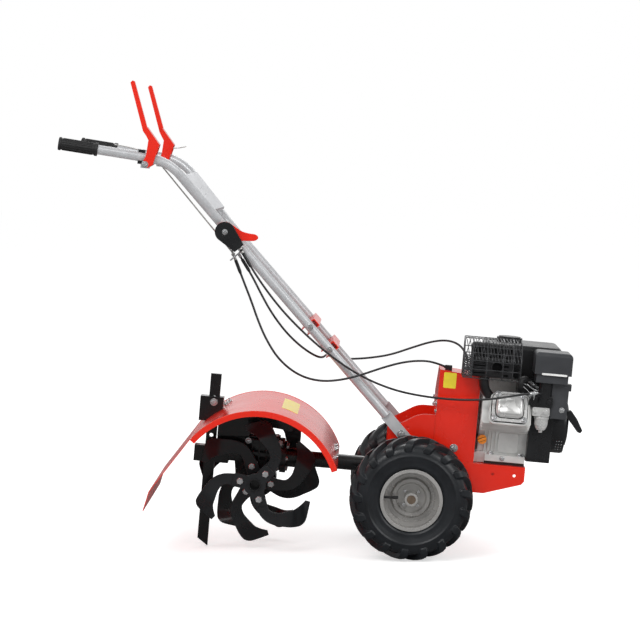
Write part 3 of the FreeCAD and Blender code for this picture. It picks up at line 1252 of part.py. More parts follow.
for side, name, phases in ((-1, "right", PHASES[1::-1]), (1, "left", PHASES[2:])):
    tyre(side, name)
    rim(side, name)
    axle_shaft(side, name)
    side_plate(side, name)
    tine_hub(side, name, phases)
    handlebar(side, name)
    grip(side, name)
    lever(side, name)
frame_cross()
engine_deck()
belt_cover()
gearbox()
drive_tube()
tine_gearbox()
rotor_shaft()
for index, across in enumerate((-D.outer_flange, -D.inner_flange, D.inner_flange, D.outer_flange)):
    tine_set(across, PHASES[index], "tine_set_%d" % (index + 1))
hood()
rear_flap()
depth_stake()
stake_guide()
stake_arm()
bar_brace(D.brace_low, "lower")
bar_brace(D.brace_high, "upper")
bar_plate()
throttle_lever()
throttle_housing()
cable_stop()
control_rod()
cable_grommets()
for route, label in zip((CLUTCH_ROUTE, DRIVE_ROUTE, THROTTLE_ROUTE), CABLES):
    cable(route, label)
engine_spacer()
crankcase()
cylinder_head()
valve_cover()
muffler()
muffler_guard()
fuel_tank()
fuel_cap()
air_cleaner()
control_panel()
fan_shroud()
recoil_cover()
carburettor()
starter_grip()
dipstick()


def centre_the_frame():
    """Put the frame's origin on the floor under the middle of the machine's length, its cables left out."""
    doc.recompute()
    boxes = [piece.Shape.BoundBox for piece in pieces if piece.Label not in CABLES]
    D.change("axle_forward", -(min(one.XMin for one in boxes) + max(one.XMax for one in boxes)) / 2)
    doc.recompute()
    print("axle_forward", round(D.axle_forward.value, 4))


centre_the_frame()
for thing in doc.Objects:
    if "Invalid" in thing.State or "Error" in thing.State:
        raise ValueError("%s (%s) failed" % (thing.Name, thing.Label))
os.makedirs("parts", exist_ok=True)
for piece in pieces:
    if piece.Shape.isNull() or not piece.Shape.isValid():
        raise ValueError(piece.Label + " has no valid shape")
    piece.Shape.exportStep("parts/%s.step" % piece.Label)
print(len(pieces), "pieces")
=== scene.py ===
"""Looks of the walk-behind rotary tiller: camera, light, cables, materials and the small detail on its frame.

Sizes in the tables below are millimetres in the machine's own frame: X forward and Z up from the wheel axle, Y to
the left. The parked machine stands nose down by PITCH about that axle. Camera, lamps, floor and finishes are in metres.
"""

import json
import math

import bmesh
import bpy
from mathutils import Matrix, Vector

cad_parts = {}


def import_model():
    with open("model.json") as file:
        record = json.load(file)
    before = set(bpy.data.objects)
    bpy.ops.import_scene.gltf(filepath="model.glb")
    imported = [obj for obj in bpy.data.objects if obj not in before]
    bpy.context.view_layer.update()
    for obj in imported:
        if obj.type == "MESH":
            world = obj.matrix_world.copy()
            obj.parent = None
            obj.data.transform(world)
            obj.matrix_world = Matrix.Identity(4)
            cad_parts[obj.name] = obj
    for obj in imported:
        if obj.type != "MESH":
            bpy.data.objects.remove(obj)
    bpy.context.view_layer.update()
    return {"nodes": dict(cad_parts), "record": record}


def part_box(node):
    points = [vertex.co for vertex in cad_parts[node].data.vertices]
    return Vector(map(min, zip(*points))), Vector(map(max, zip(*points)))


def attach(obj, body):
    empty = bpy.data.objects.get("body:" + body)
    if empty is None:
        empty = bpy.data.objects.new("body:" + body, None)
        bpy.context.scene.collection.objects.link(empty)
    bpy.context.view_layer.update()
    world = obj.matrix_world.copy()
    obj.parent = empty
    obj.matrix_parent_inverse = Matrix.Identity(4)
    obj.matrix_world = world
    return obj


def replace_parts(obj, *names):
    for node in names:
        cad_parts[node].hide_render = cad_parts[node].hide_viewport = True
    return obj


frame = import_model()

PITCH = math.radians(5.0)
WHEEL_LOW, WHEEL_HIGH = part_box("tyre_right")
AXLE = Vector(((WHEEL_LOW.x + WHEEL_HIGH.x) / 2, 0.0, (WHEEL_LOW.z + WHEEL_HIGH.z) / 2))
MM = 0.001
MACHINE = Matrix.Translation(AXLE) @ Matrix.Rotation(PITCH, 4, "Y") @ Matrix.Scale(MM, 4)
X, Y, Z = Vector((1, 0, 0)), Vector((0, 1, 0)), Vector((0, 0, 1))
SIDES = ((-1, "right"), (1, "left"))
collection = bpy.context.scene.collection


# ---- camera and light ---------------------------------------------------------------------------------------
LENS, SENSOR = 127.54, 36.0
CAMERA_SPOT = (AXLE.x - 0.11105, -6.19175, 1.09971)
# Degrees below level, and degrees round Z.
CAMERA_TILT, CAMERA_TURN = 4.388, 1.2586
# Strength of the world as light and behind the object. In reflections it goes from near to far over SIDE_BLEND.
WORLD_LEVEL, BACKGROUND_LEVEL = 0.55, 1.0
NEAR_LEVEL, FAR_LEVEL, SIDE_BLEND = 0.24, 0.85, 0.30
FLOOR_HALF = 30.0
FLOOR_COLOUR = (0.80, 0.80, 0.80, 1)
FLOOR_REFLECTED = (0.20, 0.20, 0.20, 1)
FLOOR_LIFT = 0.56
# Sockets of a Mix node: its factor, two numbers and their result, two colours and their result.
FACTOR, NUMBER_A, NUMBER_B, NUMBER_OUT, COLOUR_A, COLOUR_B, COLOUR_OUT = 0, 2, 3, 0, 6, 7, 2


def camera():
    data = bpy.data.cameras.new("camera")
    data.lens = LENS
    data.sensor_width = SENSOR
    made = bpy.data.objects.new("camera", data)
    made.location = CAMERA_SPOT
    made.rotation_euler = (math.radians(90 - CAMERA_TILT), 0, math.radians(CAMERA_TURN))
    collection.objects.link(made)
    bpy.context.scene.camera = made


def lamp(name, spot, target, size, power):
    data = bpy.data.lights.new(name, "AREA")
    data.shape = "RECTANGLE"
    data.size, data.size_y = size
    data.energy = power
    made = bpy.data.objects.new(name, data)
    made.location = spot
    made.rotation_euler = (Vector(target) - Vector(spot)).to_track_quat("-Z", "Y").to_euler()
    collection.objects.link(made)


def world():
    """White behind the object for the camera, and a studio that is darker on the near side for reflections."""
    made = bpy.data.worlds.new("world")
    bpy.context.scene.world = made
    made.use_nodes = True
    tree = made.node_tree
    shade = tree.nodes["Background"]
    path = tree.nodes.new("ShaderNodeLightPath")
    apart = tree.nodes.new("ShaderNodeSeparateXYZ")
    tree.links.new(tree.nodes.new("ShaderNodeTexCoord").outputs["Generated"], apart.inputs[0])
    studio = ranged(tree, apart.outputs[1], -SIDE_BLEND, SIDE_BLEND, NEAR_LEVEL, FAR_LEVEL)
    level = blended(tree, path.outputs["Is Glossy Ray"], WORLD_LEVEL, studio)
    level = blended(tree, path.outputs["Is Camera Ray"], level, BACKGROUND_LEVEL)
    shade.inputs[0].default_value = (1, 1, 1, 1)
    tree.links.new(level, shade.inputs[1])


def blended(tree, share, low, high):
    """Number between low and high by a share; each end is a number or a socket."""
    made = tree.nodes.new("ShaderNodeMix")
    tree.links.new(share, made.inputs[FACTOR])
    for index, value in ((NUMBER_A, low), (NUMBER_B, high)):
        if isinstance(value, float):
            made.inputs[index].default_value = value
        else:
            tree.links.new(value, made.inputs[index])
    return made.outputs[NUMBER_OUT]


def ranged(tree, value, low, high, to_low, to_high):
    """Number carried from one range to another and held at its ends."""
    made = tree.nodes.new("ShaderNodeMapRange")
    for index, number in enumerate((low, high, to_low, to_high), 1):
        made.inputs[index].default_value = number
    tree.links.new(value, made.inputs[0])
    return made.outputs[0]


def floor():
    """Pale floor that keeps the shadow, reads as white where nothing shades it, and is darker in reflections."""
    mesh = bpy.data.meshes.new("floor")
    half = FLOOR_HALF
    mesh.from_pydata([(-half, -half, 0), (half, -half, 0), (half, half, 0), (-half, half, 0)], [], [(0, 1, 2, 3)])
    made = bpy.data.objects.new("floor", mesh)
    collection.objects.link(made)
    paint = bpy.data.materials.new("floor")
    paint.use_nodes = True
    tree = paint.node_tree
    tree.nodes.clear()
    path = tree.nodes.new("ShaderNodeLightPath")
    matt = tree.nodes.new("ShaderNodeBsdfDiffuse")
    matt.inputs[0].default_value = FLOOR_COLOUR
    glow = tree.nodes.new("ShaderNodeEmission")
    tree.links.new(blended(tree, path.outputs["Is Camera Ray"], 0.0, FLOOR_LIFT), glow.inputs[1])
    added = tree.nodes.new("ShaderNodeAddShader")
    tree.links.new(matt.outputs[0], added.inputs[0])
    tree.links.new(glow.outputs[0], added.inputs[1])
    dim = tree.nodes.new("ShaderNodeBsdfDiffuse")
    dim.inputs[0].default_value = FLOOR_REFLECTED
    chosen = tree.nodes.new("ShaderNodeMixShader")
    tree.links.new(path.outputs["Is Glossy Ray"], chosen.inputs[0])
    tree.links.new(added.outputs[0], chosen.inputs[1])
    tree.links.new(dim.outputs[0], chosen.inputs[2])
    tree.links.new(chosen.outputs[0], tree.nodes.new("ShaderNodeOutputMaterial").inputs[0])
    mesh.materials.append(paint)


bpy.context.scene.view_settings.view_transform = "Standard"
camera()
world()
floor()
# Name, place, aim, width and height in metres, and watts.
lamp("key", (-1.6, -3.2, 3.6), (0, 0, 0.5), (2.6, 2.0), 78)
lamp("fill", (2.8, -2.6, 2.2), (0, 0, 0.4), (2.4, 1.8), 44)
lamp("rim", (0.4, 3.0, 3.2), (0, 0, 0.5), (3.0, 1.5), 40)


# ---- materials ----------------------------------------------------------------------------------------------
COAT_ROUGHNESS = 0.08
# Part of the noise's range that the clouds use, and how far they move the roughness down and up.
CLOUD_LOW, CLOUD_HIGH = 0.3, 0.7
SMOOTHER, ROUGHER, LEAST_ROUGH = 0.06, 0.07, 0.03
# Cosine between the flat and the softened normal where an edge's painted highlight starts and where it is full.
HIGHLIGHT_START, HIGHLIGHT_FULL = 0.97, 0.80


def surface(name, colour, roughness, metallic=0.0, coat=0.0, shade=0.12, cloud=9.0, grain=900.0, bump=0.05,
            edge=None, edge_width=0.0012, specular=0.5):
    """Procedural finish: clouded colour and roughness, fine grain in relief, softened edges with a painted highlight.
    """
    made = bpy.data.materials.new(name)
    made.use_nodes = True
    tree = made.node_tree
    shader = tree.nodes["Principled BSDF"]
    shader.inputs["Metallic"].default_value = metallic
    shader.inputs["Coat Weight"].default_value = coat
    shader.inputs["Coat Roughness"].default_value = COAT_ROUGHNESS
    shader.inputs["Specular IOR Level"].default_value = specular
    place = tree.nodes.new("ShaderNodeTexCoord").outputs["Object"]
    clouds = noise(tree, place, cloud, 4)
    fine = noise(tree, place, grain, 2)
    tint = ranged(tree, clouds, CLOUD_LOW, CLOUD_HIGH, 1 - shade, 1 + shade)
    mixed = tree.nodes.new("ShaderNodeMix")
    mixed.data_type = "RGBA"
    mixed.blend_type = "MULTIPLY"
    mixed.inputs[FACTOR].default_value = 1.0
    mixed.inputs[COLOUR_A].default_value = (*colour, 1)
    tree.links.new(tint, mixed.inputs[COLOUR_B])
    shown = mixed.outputs[COLOUR_OUT]
    bevel = tree.nodes.new("ShaderNodeBevel")
    bevel.samples = 4
    bevel.inputs["Radius"].default_value = edge_width
    # The edge colour is a painted highlight that lightens the rounded edges.
    if edge:
        shown = edge_highlighted(tree, shown, bevel.outputs[0], edge)
    tree.links.new(shown, shader.inputs["Base Color"])
    rough = ranged(tree, clouds, CLOUD_LOW, CLOUD_HIGH, max(LEAST_ROUGH, roughness - SMOOTHER), roughness + ROUGHER)
    tree.links.new(rough, shader.inputs["Roughness"])
    relief = tree.nodes.new("ShaderNodeBump")
    relief.inputs["Strength"].default_value = bump
    relief.inputs["Distance"].default_value = MM
    tree.links.new(fine, relief.inputs["Height"])
    tree.links.new(bevel.outputs[0], relief.inputs["Normal"])
    tree.links.new(relief.outputs[0], shader.inputs["Normal"])
    return made


def edge_highlighted(tree, shown, softened, edge):
    """Blend a colour towards the edge's colour, a painted highlight, where the softened normal turns away from the flat
    one.
    """
    dot = tree.nodes.new("ShaderNodeVectorMath")
    dot.operation = "DOT_PRODUCT"
    tree.links.new(tree.nodes.new("ShaderNodeNewGeometry").outputs["Normal"], dot.inputs[0])
    tree.links.new(softened, dot.inputs[1])
    made = tree.nodes.new("ShaderNodeMix")
    made.data_type = "RGBA"
    made.inputs[COLOUR_B].default_value = (*edge, 1)
    tree.links.new(ranged(tree, dot.outputs["Value"], HIGHLIGHT_START, HIGHLIGHT_FULL, 0.0, 1.0), made.inputs[FACTOR])
    tree.links.new(shown, made.inputs[COLOUR_A])
    return made.outputs[COLOUR_OUT]


def noise(tree, place, scale, detail):
    made = tree.nodes.new("ShaderNodeTexNoise")
    made.inputs["Scale"].default_value = scale
    made.inputs["Detail"].default_value = detail
    tree.links.new(place, made.inputs["Vector"])
    return made.outputs[0]


# Each edge colour below is a painted highlight along the rounded edges.
RED = surface("red_enamel", (0.78, 0.017, 0.0035), 0.24, coat=0.2, shade=0.04, cloud=5, grain=120, bump=0.003,
              edge=(0.86, 0.09, 0.04))
BLACK = surface("black_enamel", (0.006, 0.0062, 0.007), 0.24, coat=0.3, shade=0.25, cloud=14, grain=600,
                bump=0.05, edge=(0.025, 0.026, 0.028))
# Near-black that stands in for shade: inside openings and in gaps between parts.
PAINTED_SHADE = surface("painted_shade_black", (0.002, 0.002, 0.0022), 0.8, specular=0.1)
BLADE_PAINT = surface("blade_paint", (0.0125, 0.0137, 0.0155), 0.30, coat=0.15, shade=0.22, cloud=16, grain=500,
                      bump=0.06, edge=(0.035, 0.037, 0.04))
STOVE = surface("stove_black", (0.014, 0.014, 0.0155), 0.42, shade=0.3, cloud=30, grain=1500, bump=0.12,
                edge=(0.07, 0.07, 0.074))
TUBE = surface("galvanised_tube", (0.54, 0.55, 0.565), 0.36, metallic=0.25, shade=0.08, cloud=30, grain=120,
               bump=0.0, edge_width=0.0001)
RIM = surface("silver_rim", (0.47, 0.46, 0.445), 0.27, metallic=0.5, shade=0.08, cloud=12, grain=300, bump=0.02,
              edge=(0.74, 0.73, 0.70))
STEEL = surface("plain_steel", (0.20, 0.15, 0.11), 0.42, metallic=0.5, shade=0.22, cloud=50, grain=900, bump=0.08)
ZINC = surface("zinc", (0.70, 0.71, 0.72), 0.22, metallic=0.8, shade=0.15, cloud=80, grain=1200, bump=0.05,
               edge=(0.85, 0.85, 0.86), edge_width=0.0005)
CAST = surface("cast_aluminium", (0.68, 0.68, 0.665), 0.33, metallic=0.30, shade=0.12, cloud=26, grain=1300,
               bump=0.10, edge=(0.68, 0.68, 0.66))
BRIGHT_CAST = surface("bright_cast", (0.68, 0.68, 0.67), 0.26, metallic=0.45, shade=0.08, cloud=20, grain=1300,
                      bump=0.12, edge=(0.86, 0.86, 0.84))
RUBBER = surface("tyre_rubber", (0.0105, 0.0125, 0.0155), 0.34, shade=0.3, cloud=18, grain=1100, bump=0.14,
                 edge=(0.028, 0.031, 0.036), edge_width=0.0018)
WIRE = surface("guard_wire", (0.05, 0.051, 0.054), 0.28, metallic=0.4, shade=0.2, cloud=60, grain=900, bump=0.05)
SOFT = surface("soft_rubber", (0.014, 0.014, 0.015), 0.55, shade=0.2, cloud=40, grain=1600, bump=0.2)
PLASTIC = surface("black_plastic", (0.012, 0.0125, 0.0138), 0.28, shade=0.2, cloud=16, grain=900, bump=0.03,
                  edge=(0.045, 0.047, 0.05))
PANEL = surface("grey_black_plastic", (0.045, 0.047, 0.052), 0.34, shade=0.15, cloud=14, grain=1700, bump=0.1,
                edge=(0.10, 0.104, 0.11))
SHEATH = surface("cable_sheath", (0.022, 0.022, 0.024), 0.34, shade=0.15, cloud=60, grain=300, bump=0.02,
                 edge_width=0.0001)
ORANGE = surface("orange_plastic", (0.86, 0.27, 0.015), 0.32, shade=0.08, cloud=40, grain=1500, bump=0.08,
                 edge=(0.95, 0.45, 0.10))
YELLOW = surface("yellow_label", (0.92, 0.72, 0.03), 0.36, coat=0.3, shade=0.07, cloud=60, grain=2200, bump=0.04,
                 edge_width=0.0002)
PLATE = surface("light_plate", (0.60, 0.61, 0.63), 0.38, metallic=0.25, shade=0.08, cloud=20, grain=800, bump=0.04)
PALE = surface("pale_strip", (0.80, 0.80, 0.79), 0.35, shade=0.05, cloud=40, grain=900, bump=0.03)

FINISHES = {
    "tyre_rubber": RUBBER, "galvanised_rim": RIM, "steel": STEEL, "red_paint": RED, "black_paint": BLACK,
    "bare_tube": TUBE, "cast_aluminium": CAST, "black_plastic": PLASTIC, "rubber": SOFT, "orange_plastic": ORANGE,
    "light_plate": PLATE, "cable_sheath": SHEATH,
}
# Nodes whose finish isn't their slot's own.
SPECIAL = {"valve_cover": BRIGHT_CAST, "muffler": STOVE, "muffler_guard": STOVE, "control_panel": PANEL,
           "air_cleaner": PANEL, "control_rod": RIM, "cable_stop": ZINC, "tine_gearbox": BLACK}
for entry in frame["record"]["subparts"]:
    name = entry["node"]
    finish = SPECIAL.get(name, FINISHES[entry["material_slot"]])
    node = frame["nodes"][name]
    for place in node.material_slots:
        place.material = finish


# ---- cables -------------------------------------------------------------------------------------------------
CABLE = 0.006
# Real length in metres and the points of each cable's route.
ROUTES = {
    "clutch": (0.780, [(-527, -104, 590), (-515, -106, 565), (-496, -110, 526), (-472, -115, 478),
                       (-451, -120, 431), (-424, -126, 381), (-385, -134, 330), (-330, -141, 294),
                       (-272, -147, 283), (-214, -151, 292), (-159, -153, 312), (-102, -147, 337),
                       (-47, -130, 355), (4, -112, 361), (38, -97, 356), (62, -90, 348)]),
    "drive": (1.037, [(-511, -108, 594), (-494, -109, 571), (-473, -110, 541), (-446, -111, 497),
                      (-417, -112, 454), (-379, -112, 410), (-341, -110, 377), (-306, -100, 354),
                      (-280, -76, 341), (-268, -30, 338), (-264, 20, 338), (-261, 74, 336), (-250, 118, 328),
                      (-222, 142, 322), (-180, 152, 324), (-132, 153, 332), (-81, 152, 345), (-26, 146, 370),
                      (28, 130, 394), (72, 106, 404), (106, 82, 396), (126, 66, 370), (132, 60, 342),
                      (132, 60.5, 317)]),
    "throttle": (0.940, [(-508, -144, 613), (-491, -144, 588), (-464, -144, 551), (-425, -143, 504),
                         (-382, -142, 459), (-335, -141, 418), (-286, -141, 380), (-236, -142, 347),
                         (-183, -143, 317), (-125, -144, 293), (-62, -145, 276), (5, -145, 268),
                         (71, -147, 266), (135, -157, 270), (196, -176, 281), (240, -187, 293),
                         (272, -183, 301), (295, -172, 304)]),
}


def cable(name, route):
    points = [MACHINE @ Vector(point) for point in route]
    data = bpy.data.curves.new(name + "_cable_skin", "CURVE")
    data.dimensions = "3D"
    data.bevel_depth = CABLE / 2
    data.bevel_resolution = 3
    data.resolution_u = 10
    data.use_fill_caps = True
    spline = data.splines.new("NURBS")
    spline.points.add(len(points) - 1)
    for control, point in zip(spline.points, points):
        control.co = (*point, 1)
    spline.order_u = 3
    spline.use_endpoint_u = True
    data.materials.append(SHEATH)
    made = bpy.data.objects.new(name + "_cable_skin", data)
    collection.objects.link(made)
    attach(made, "chassis")
    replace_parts(made, name + "_cable")


for name, (length, route) in ROUTES.items():
    cable(name, route)


# ---- geometry helpers ---------------------------------------------------------------------------------------
BEVEL_STEPS = 2
WELD = 0.001
# Longest part of an edge that a fillet takes from each end.
FILLET_SHARE = 0.45


def square_to(axis):
    """Two unit directions square to an axis and to each other."""
    aside = axis.orthogonal().normalized()
    return aside, axis.cross(aside)


def circle(middle, aside, other, radius, sides):
    """Ring of points round a middle, in the plane of two directions."""
    return [middle + (aside * math.cos(turn) + other * math.sin(turn)) * radius
            for turn in (2 * math.pi * index / sides for index in range(sides))]


def polar(centre, across, radius, angle):
    """Point round an (x, z) centre, at a place across the machine."""
    return Vector((centre[0] + radius * math.cos(angle), across, centre[1] + radius * math.sin(angle)))


class Kit:
    """Collects solids in the machine's millimetres and turns them into one piece of the frame."""

    def __init__(self):
        self.mesh = bmesh.new()

    def loft(self, rings, caps=True):
        """Skin over closed rings of points; each ring has as many points as the next."""
        rows = [[self.mesh.verts.new(point) for point in ring] for ring in rings]
        count = len(rows[0])
        for low, high in zip(rows, rows[1:]):
            for index in range(count):
                after = (index + 1) % count
                self.mesh.faces.new((low[index], low[after], high[after], high[index]))
        if caps:
            self.mesh.faces.new(list(reversed(rows[0])))
            self.mesh.faces.new(rows[-1])

    def loop(self, rings):
        """Skin that ends on its first ring, welded there."""
        first = len(self.mesh.verts)
        self.loft(rings + rings[:1], caps=False)
        self.mesh.verts.ensure_lookup_table()
        bmesh.ops.remove_doubles(self.mesh, verts=self.mesh.verts[first:], dist=WELD)

    def box(self, x0, x1, y0, y1, z0, z1):
        ring = [(x0, y0), (x1, y0), (x1, y1), (x0, y1)]
        self.loft([[Vector((x, y, z)) for x, y in ring] for z in (z0, z1)])

    def rod(self, start, end, radius, far=None, sides=20):
        self.lathe(start, end, [(0, radius), (1, radius if far is None else far)], sides)

    def lathe(self, start, end, profile, sides):
        """Turned solid along a line; each profile entry is (share of the line, radius)."""
        start, end = Vector(start), Vector(end)
        aside, other = square_to((end - start).normalized())
        self.loft([circle(start.lerp(end, share), aside, other, radius, sides) for share, radius in profile])

    def bolt(self, spot, axis, across, height, washer=True):
        """Hexagon head with a chamfered crown, on a washer."""
        corner, crown = across / 1.74, across / 2.15
        spot, axis = Vector(spot), Vector(axis).normalized()
        base = spot
        if washer:
            base = spot + axis * across * 0.12
            self.rod(spot, base, across * 0.86, sides=24)
        top = base + axis * height
        self.lathe(base, top, [(0, corner), (0.78, corner), (1, crown)], 6)

    def tube(self, points, radius, sides):
        """Round bar along points, for rods, springs and wires."""
        spots = [Vector(point) for point in points]
        rings = []
        aside = (spots[1] - spots[0]).orthogonal().normalized()
        for index, spot in enumerate(spots):
            ahead = (spots[min(index + 1, len(spots) - 1)] - spots[max(index - 1, 0)]).normalized()
            aside = (aside - ahead * aside.dot(ahead)).normalized()
            rings.append(circle(spot, aside, ahead.cross(aside), radius, sides))
        self.loft(rings)

    def spring(self, start, end, radius, wire, turns):
        """Close coil between two points."""
        start, end = Vector(start), Vector(end)
        aside, other = square_to((end - start).normalized())
        steps = int(turns * 12)
        points = []
        for step in range(steps + 1):
            turn = 2 * math.pi * turns * step / steps
            points.append(start.lerp(end, step / steps) + (aside * math.cos(turn) + other * math.sin(turn)) * radius)
        self.tube(points, wire, 6)

    def slab(self, outline, across, thick):
        """Plate of a closed outline of points, with a thickness along a direction."""
        lift = Vector(across).normalized() * thick
        self.loft([[Vector(point) for point in outline], [Vector(point) + lift for point in outline]])

    def plate(self, y, outline, thick):
        """Upright plate of an (x, z) outline; its thickness runs to the left, or to the right below zero."""
        self.slab([(x, y, z) for x, z in outline], Y, thick)

    def done(self, name, body, finish, slot, bevel=0.0, crease=32.0):
        """Make the piece: smooth below the crease angle, with rounded edges where bevel gives their width."""
        bmesh.ops.recalc_face_normals(self.mesh, faces=self.mesh.faces)
        limit = math.radians(crease)
        for face in self.mesh.faces:
            face.smooth = True
        for edge in self.mesh.edges:
            edge.smooth = len(edge.link_faces) == 2 and edge.calc_face_angle() < limit
        self.mesh.transform(MACHINE)
        data = bpy.data.meshes.new(name)
        self.mesh.to_mesh(data)
        self.mesh.free()
        data.materials.append(finish)
        made = bpy.data.objects.new(name, data)
        collection.objects.link(made)
        if bevel:
            rounded = made.modifiers.new("rounded", "BEVEL")
            rounded.width = bevel * MM
            rounded.segments = BEVEL_STEPS
            rounded.limit_method = "ANGLE"
            rounded.angle_limit = limit
            rounded.harden_normals = True
        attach(made, body)
        return made


def rounded_outline(x0, x1, z0, z1, radius):
    """Corner-rounded rectangle of (x, z) points."""
    points = []
    corners = ((x1 - radius, z1 - radius, 0), (x0 + radius, z1 - radius, 90), (x0 + radius, z0 + radius, 180),
               (x1 - radius, z0 + radius, 270))
    for u, v, start in corners:
        for step in range(5):
            turn = math.radians(start + 22.5 * step)
            points.append((u + radius * math.cos(turn), v + radius * math.sin(turn)))
    return points


def filleted(points, radius, steps=4):
    """Closed outline of (u, v) points with its corners rounded."""
    made = []
    count = len(points)
    for index, corner in enumerate(points):
        corner = Vector(corner)
        ends = []
        for other in (points[index - 1], points[(index + 1) % count]):
            toward = Vector(other) - corner
            ends.append(corner + toward.normalized() * min(radius, toward.length * FILLET_SHARE))
        for step in range(steps + 1):
            t = step / steps
            made.append(ends[0] * (1 - t) ** 2 + corner * 2 * t * (1 - t) + ends[1] * t * t)
    return made


def pillow(kit, profile, x0, x1, rounding):
    """Prism along X over a (y, z) profile, with rounded ends."""
    middle = sum(profile, Vector((0, 0))) / len(profile)
    quarter = [22.5 * step for step in range(5)]
    rings = []
    for x, turn, sign in [(x0, turn, 1) for turn in quarter] + [(x1, 90 - turn, -1) for turn in quarter]:
        inset = rounding * (1 - math.sin(math.radians(turn)))
        station = x + sign * rounding * (1 - math.cos(math.radians(turn)))
        ring = []
        for point in profile:
            away = point - middle
            ring.append(Vector((station, *(middle + away * max(0.0, 1 - inset / away.length)))))
        rings.append(ring)
    kit.loft(rings)


def collar(kit, start, end, outer, inner, sides=48):
    """Ring with an open bore along a line."""
    start, end = Vector(start), Vector(end)
    aside, other = square_to((end - start).normalized())
    kit.loop([circle(middle, aside, other, radius, sides)
              for middle, radius in ((start, inner), (start, outer), (end, outer), (end, inner))])


# ---- wheels -------------------------------------------------------------------------------------------------
WHEEL_Y = 196.0
TYRE_STEPS = 96
# Half of the carcass's section, as (across from its middle, radius), from the rim to the tread's middle.
TYRE_PROFILE = [(44, 79), (50, 86), (53.5, 90), (54.5, 93), (53.8, 96), (56, 104), (58.6, 112), (59.6, 115.5),
                (60.9, 117), (60.9, 119.5), (59.8, 121), (58.9, 128), (56.4, 136), (51, 143.5), (42, 148), (27, 150),
                (10, 151), (0, 151.2)]
# Stations of a lug from the tread's middle outwards: top edge, foot, degrees behind its start, and half width.
LUG_ACROSS = (-3, 10, 26, 41, 52, 59, 61.6, 61.2)
LUG_TOP = (165, 165, 164.2, 162, 157.5, 150, 141, 132)
LUG_ROOT_ACROSS = (-3, 10, 25, 37, 45, 50, 53, 54)
LUG_ROOT = (149, 149, 148, 146, 141, 135, 130, 126)
LUG_TRAIL = (0, 3.2, 8.6, 13.2, 16.4, 18.2, 19.0, 19.2)
LUG_HALF = (7.0, 7.4, 8.4, 9.8, 11.2, 11.8, 10.8, 7.6)
# Width of a lug's foot and crest as shares of its station's width, and lugs in a row.
LUG_FOOT, LUG_CREST = 1.25, 0.85
LUGS = 17


def tyre(side, name):
    """Agricultural tyre: a carcass with rim ridges, and two staggered rows of swept lugs."""
    made = Kit()
    centre = side * WHEEL_Y
    section = TYRE_PROFILE + [(-across, radius) for across, radius in reversed(TYRE_PROFILE[:-1])]
    rings = []
    for step in range(TYRE_STEPS):
        turn = 2 * math.pi * step / TYRE_STEPS
        rings.append([Vector((radius * math.sin(turn), centre + across, radius * math.cos(turn)))
                      for across, radius in section])
    made.loop(rings)
    for row, shift in ((1, 0.0), (-1, 0.5)):
        for index in range(LUGS):
            lug(made, centre, row, 360.0 * (index + shift) / LUGS)
    carcass = made.done("tyre_%s_skin" % name, "wheel_" + name, RUBBER, "tyre_rubber", bevel=1.6, crease=40)
    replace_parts(carcass, "tyre_" + name)


def lug(made, centre, row, start):
    rings = []
    for across, top, root_across, root, trail, half in zip(LUG_ACROSS, LUG_TOP, LUG_ROOT_ACROSS, LUG_ROOT,
                                                           LUG_TRAIL, LUG_HALF):
        middle = math.radians(start - trail)
        ring = []
        for radius, aside, offset in ((root, root_across, -LUG_FOOT), (top, across, -LUG_CREST),
                                      (top, across, LUG_CREST), (root, root_across, LUG_FOOT)):
            turn = middle + offset * half / radius
            ring.append(Vector((radius * math.sin(turn), centre + row * aside, radius * math.cos(turn))))
        rings.append(ring)
    made.loft(rings)


for side, name in SIDES:
    tyre(side, name)


# ---- valve stems and hub bolts ------------------------------------------------------------------------------
for side, name in SIDES:
    face = side * WHEEL_Y
    stem = Kit()
    stem.rod((-36, face + side * 20, 0), (-52, face + side * 26, 0), 4.6, 4.2)
    stem.rod((-52, face + side * 26, 0), (-74, face + side * 31, 0), 3.6)
    stem.rod((-74, face + side * 31, 0), (-79, face + side * 32.2, 0), 4.4, 4.0)
    stem.done("valve_stem_" + name, "wheel_" + name, SOFT, "rubber", bevel=0.5)
    hub = Kit()
    for index in range(4):
        spot = polar((0, 0), face + side * 6, 25.5, math.radians(45 + 90 * index))
        hub.bolt(spot, (0, side, 0), 8, 4, washer=False)
    hub.done("hub_bolts_" + name, "wheel_" + name, ZINC, "steel", bevel=0.4)


# ---- tine rotor ---------------------------------------------------------------------------------------------
ROTOR = (-420.0, -10.0)
# Edge points of a blade beside its bolt's direction: leading edge, trailing edge, and share of the foot's set.
BLADE = [((22, -18), (22, 18), 0), ((45, -18), (45, 18), 0), ((60, -14.5), (60, 17), 0),
         ((87, -8), (79, 20), 0), ((108, 5), (90, 36), 0), ((123, 25), (93, 53), 0),
         ((132, 46), (94, 68), 0.0), ((138.5, 62), (95, 82), 0.12), ((143, 78), (93.5, 92), 0.42),
         ((143.5, 90), (91, 101), 0.68), ((135, 104), (87.5, 109), 0.86), ((112, 117.5), (85, 114), 0.95),
         ((90, 129), (83, 117), 1.0)]
BLADE_THICK = 7.0
# Blade sets: place across, first blade's angle in degrees, and how far the foot bends inwards.
SETS = ((-140.0, 170.3, 40.0), (-65.0, 112.0, 22.0), (65.0, 81.0, 22.0), (140.0, 21.0, 40.0))
BOLT_RADIUS = 41.0
FLANGE_HALF = 3.0


def smooth_stations(rows, steps):
    """Catmull-Rom stations through the blade's edge points."""
    flat = [(*lead, *trail, share) for lead, trail, share in rows]
    padded = [flat[0]] + flat + [flat[-1]]
    made = []
    for index in range(len(flat) - 1):
        for step in range(steps):
            t = step / steps
            weights = (-0.5 * t + t * t - 0.5 * t ** 3, 1 - 2.5 * t * t + 1.5 * t ** 3,
                       0.5 * t + 2 * t * t - 1.5 * t ** 3, 0.5 * t ** 3 - 0.5 * t * t)
            made.append([sum(w * padded[index + k][c] for k, w in enumerate(weights)) for c in range(5)])
    return made + [list(flat[-1])]


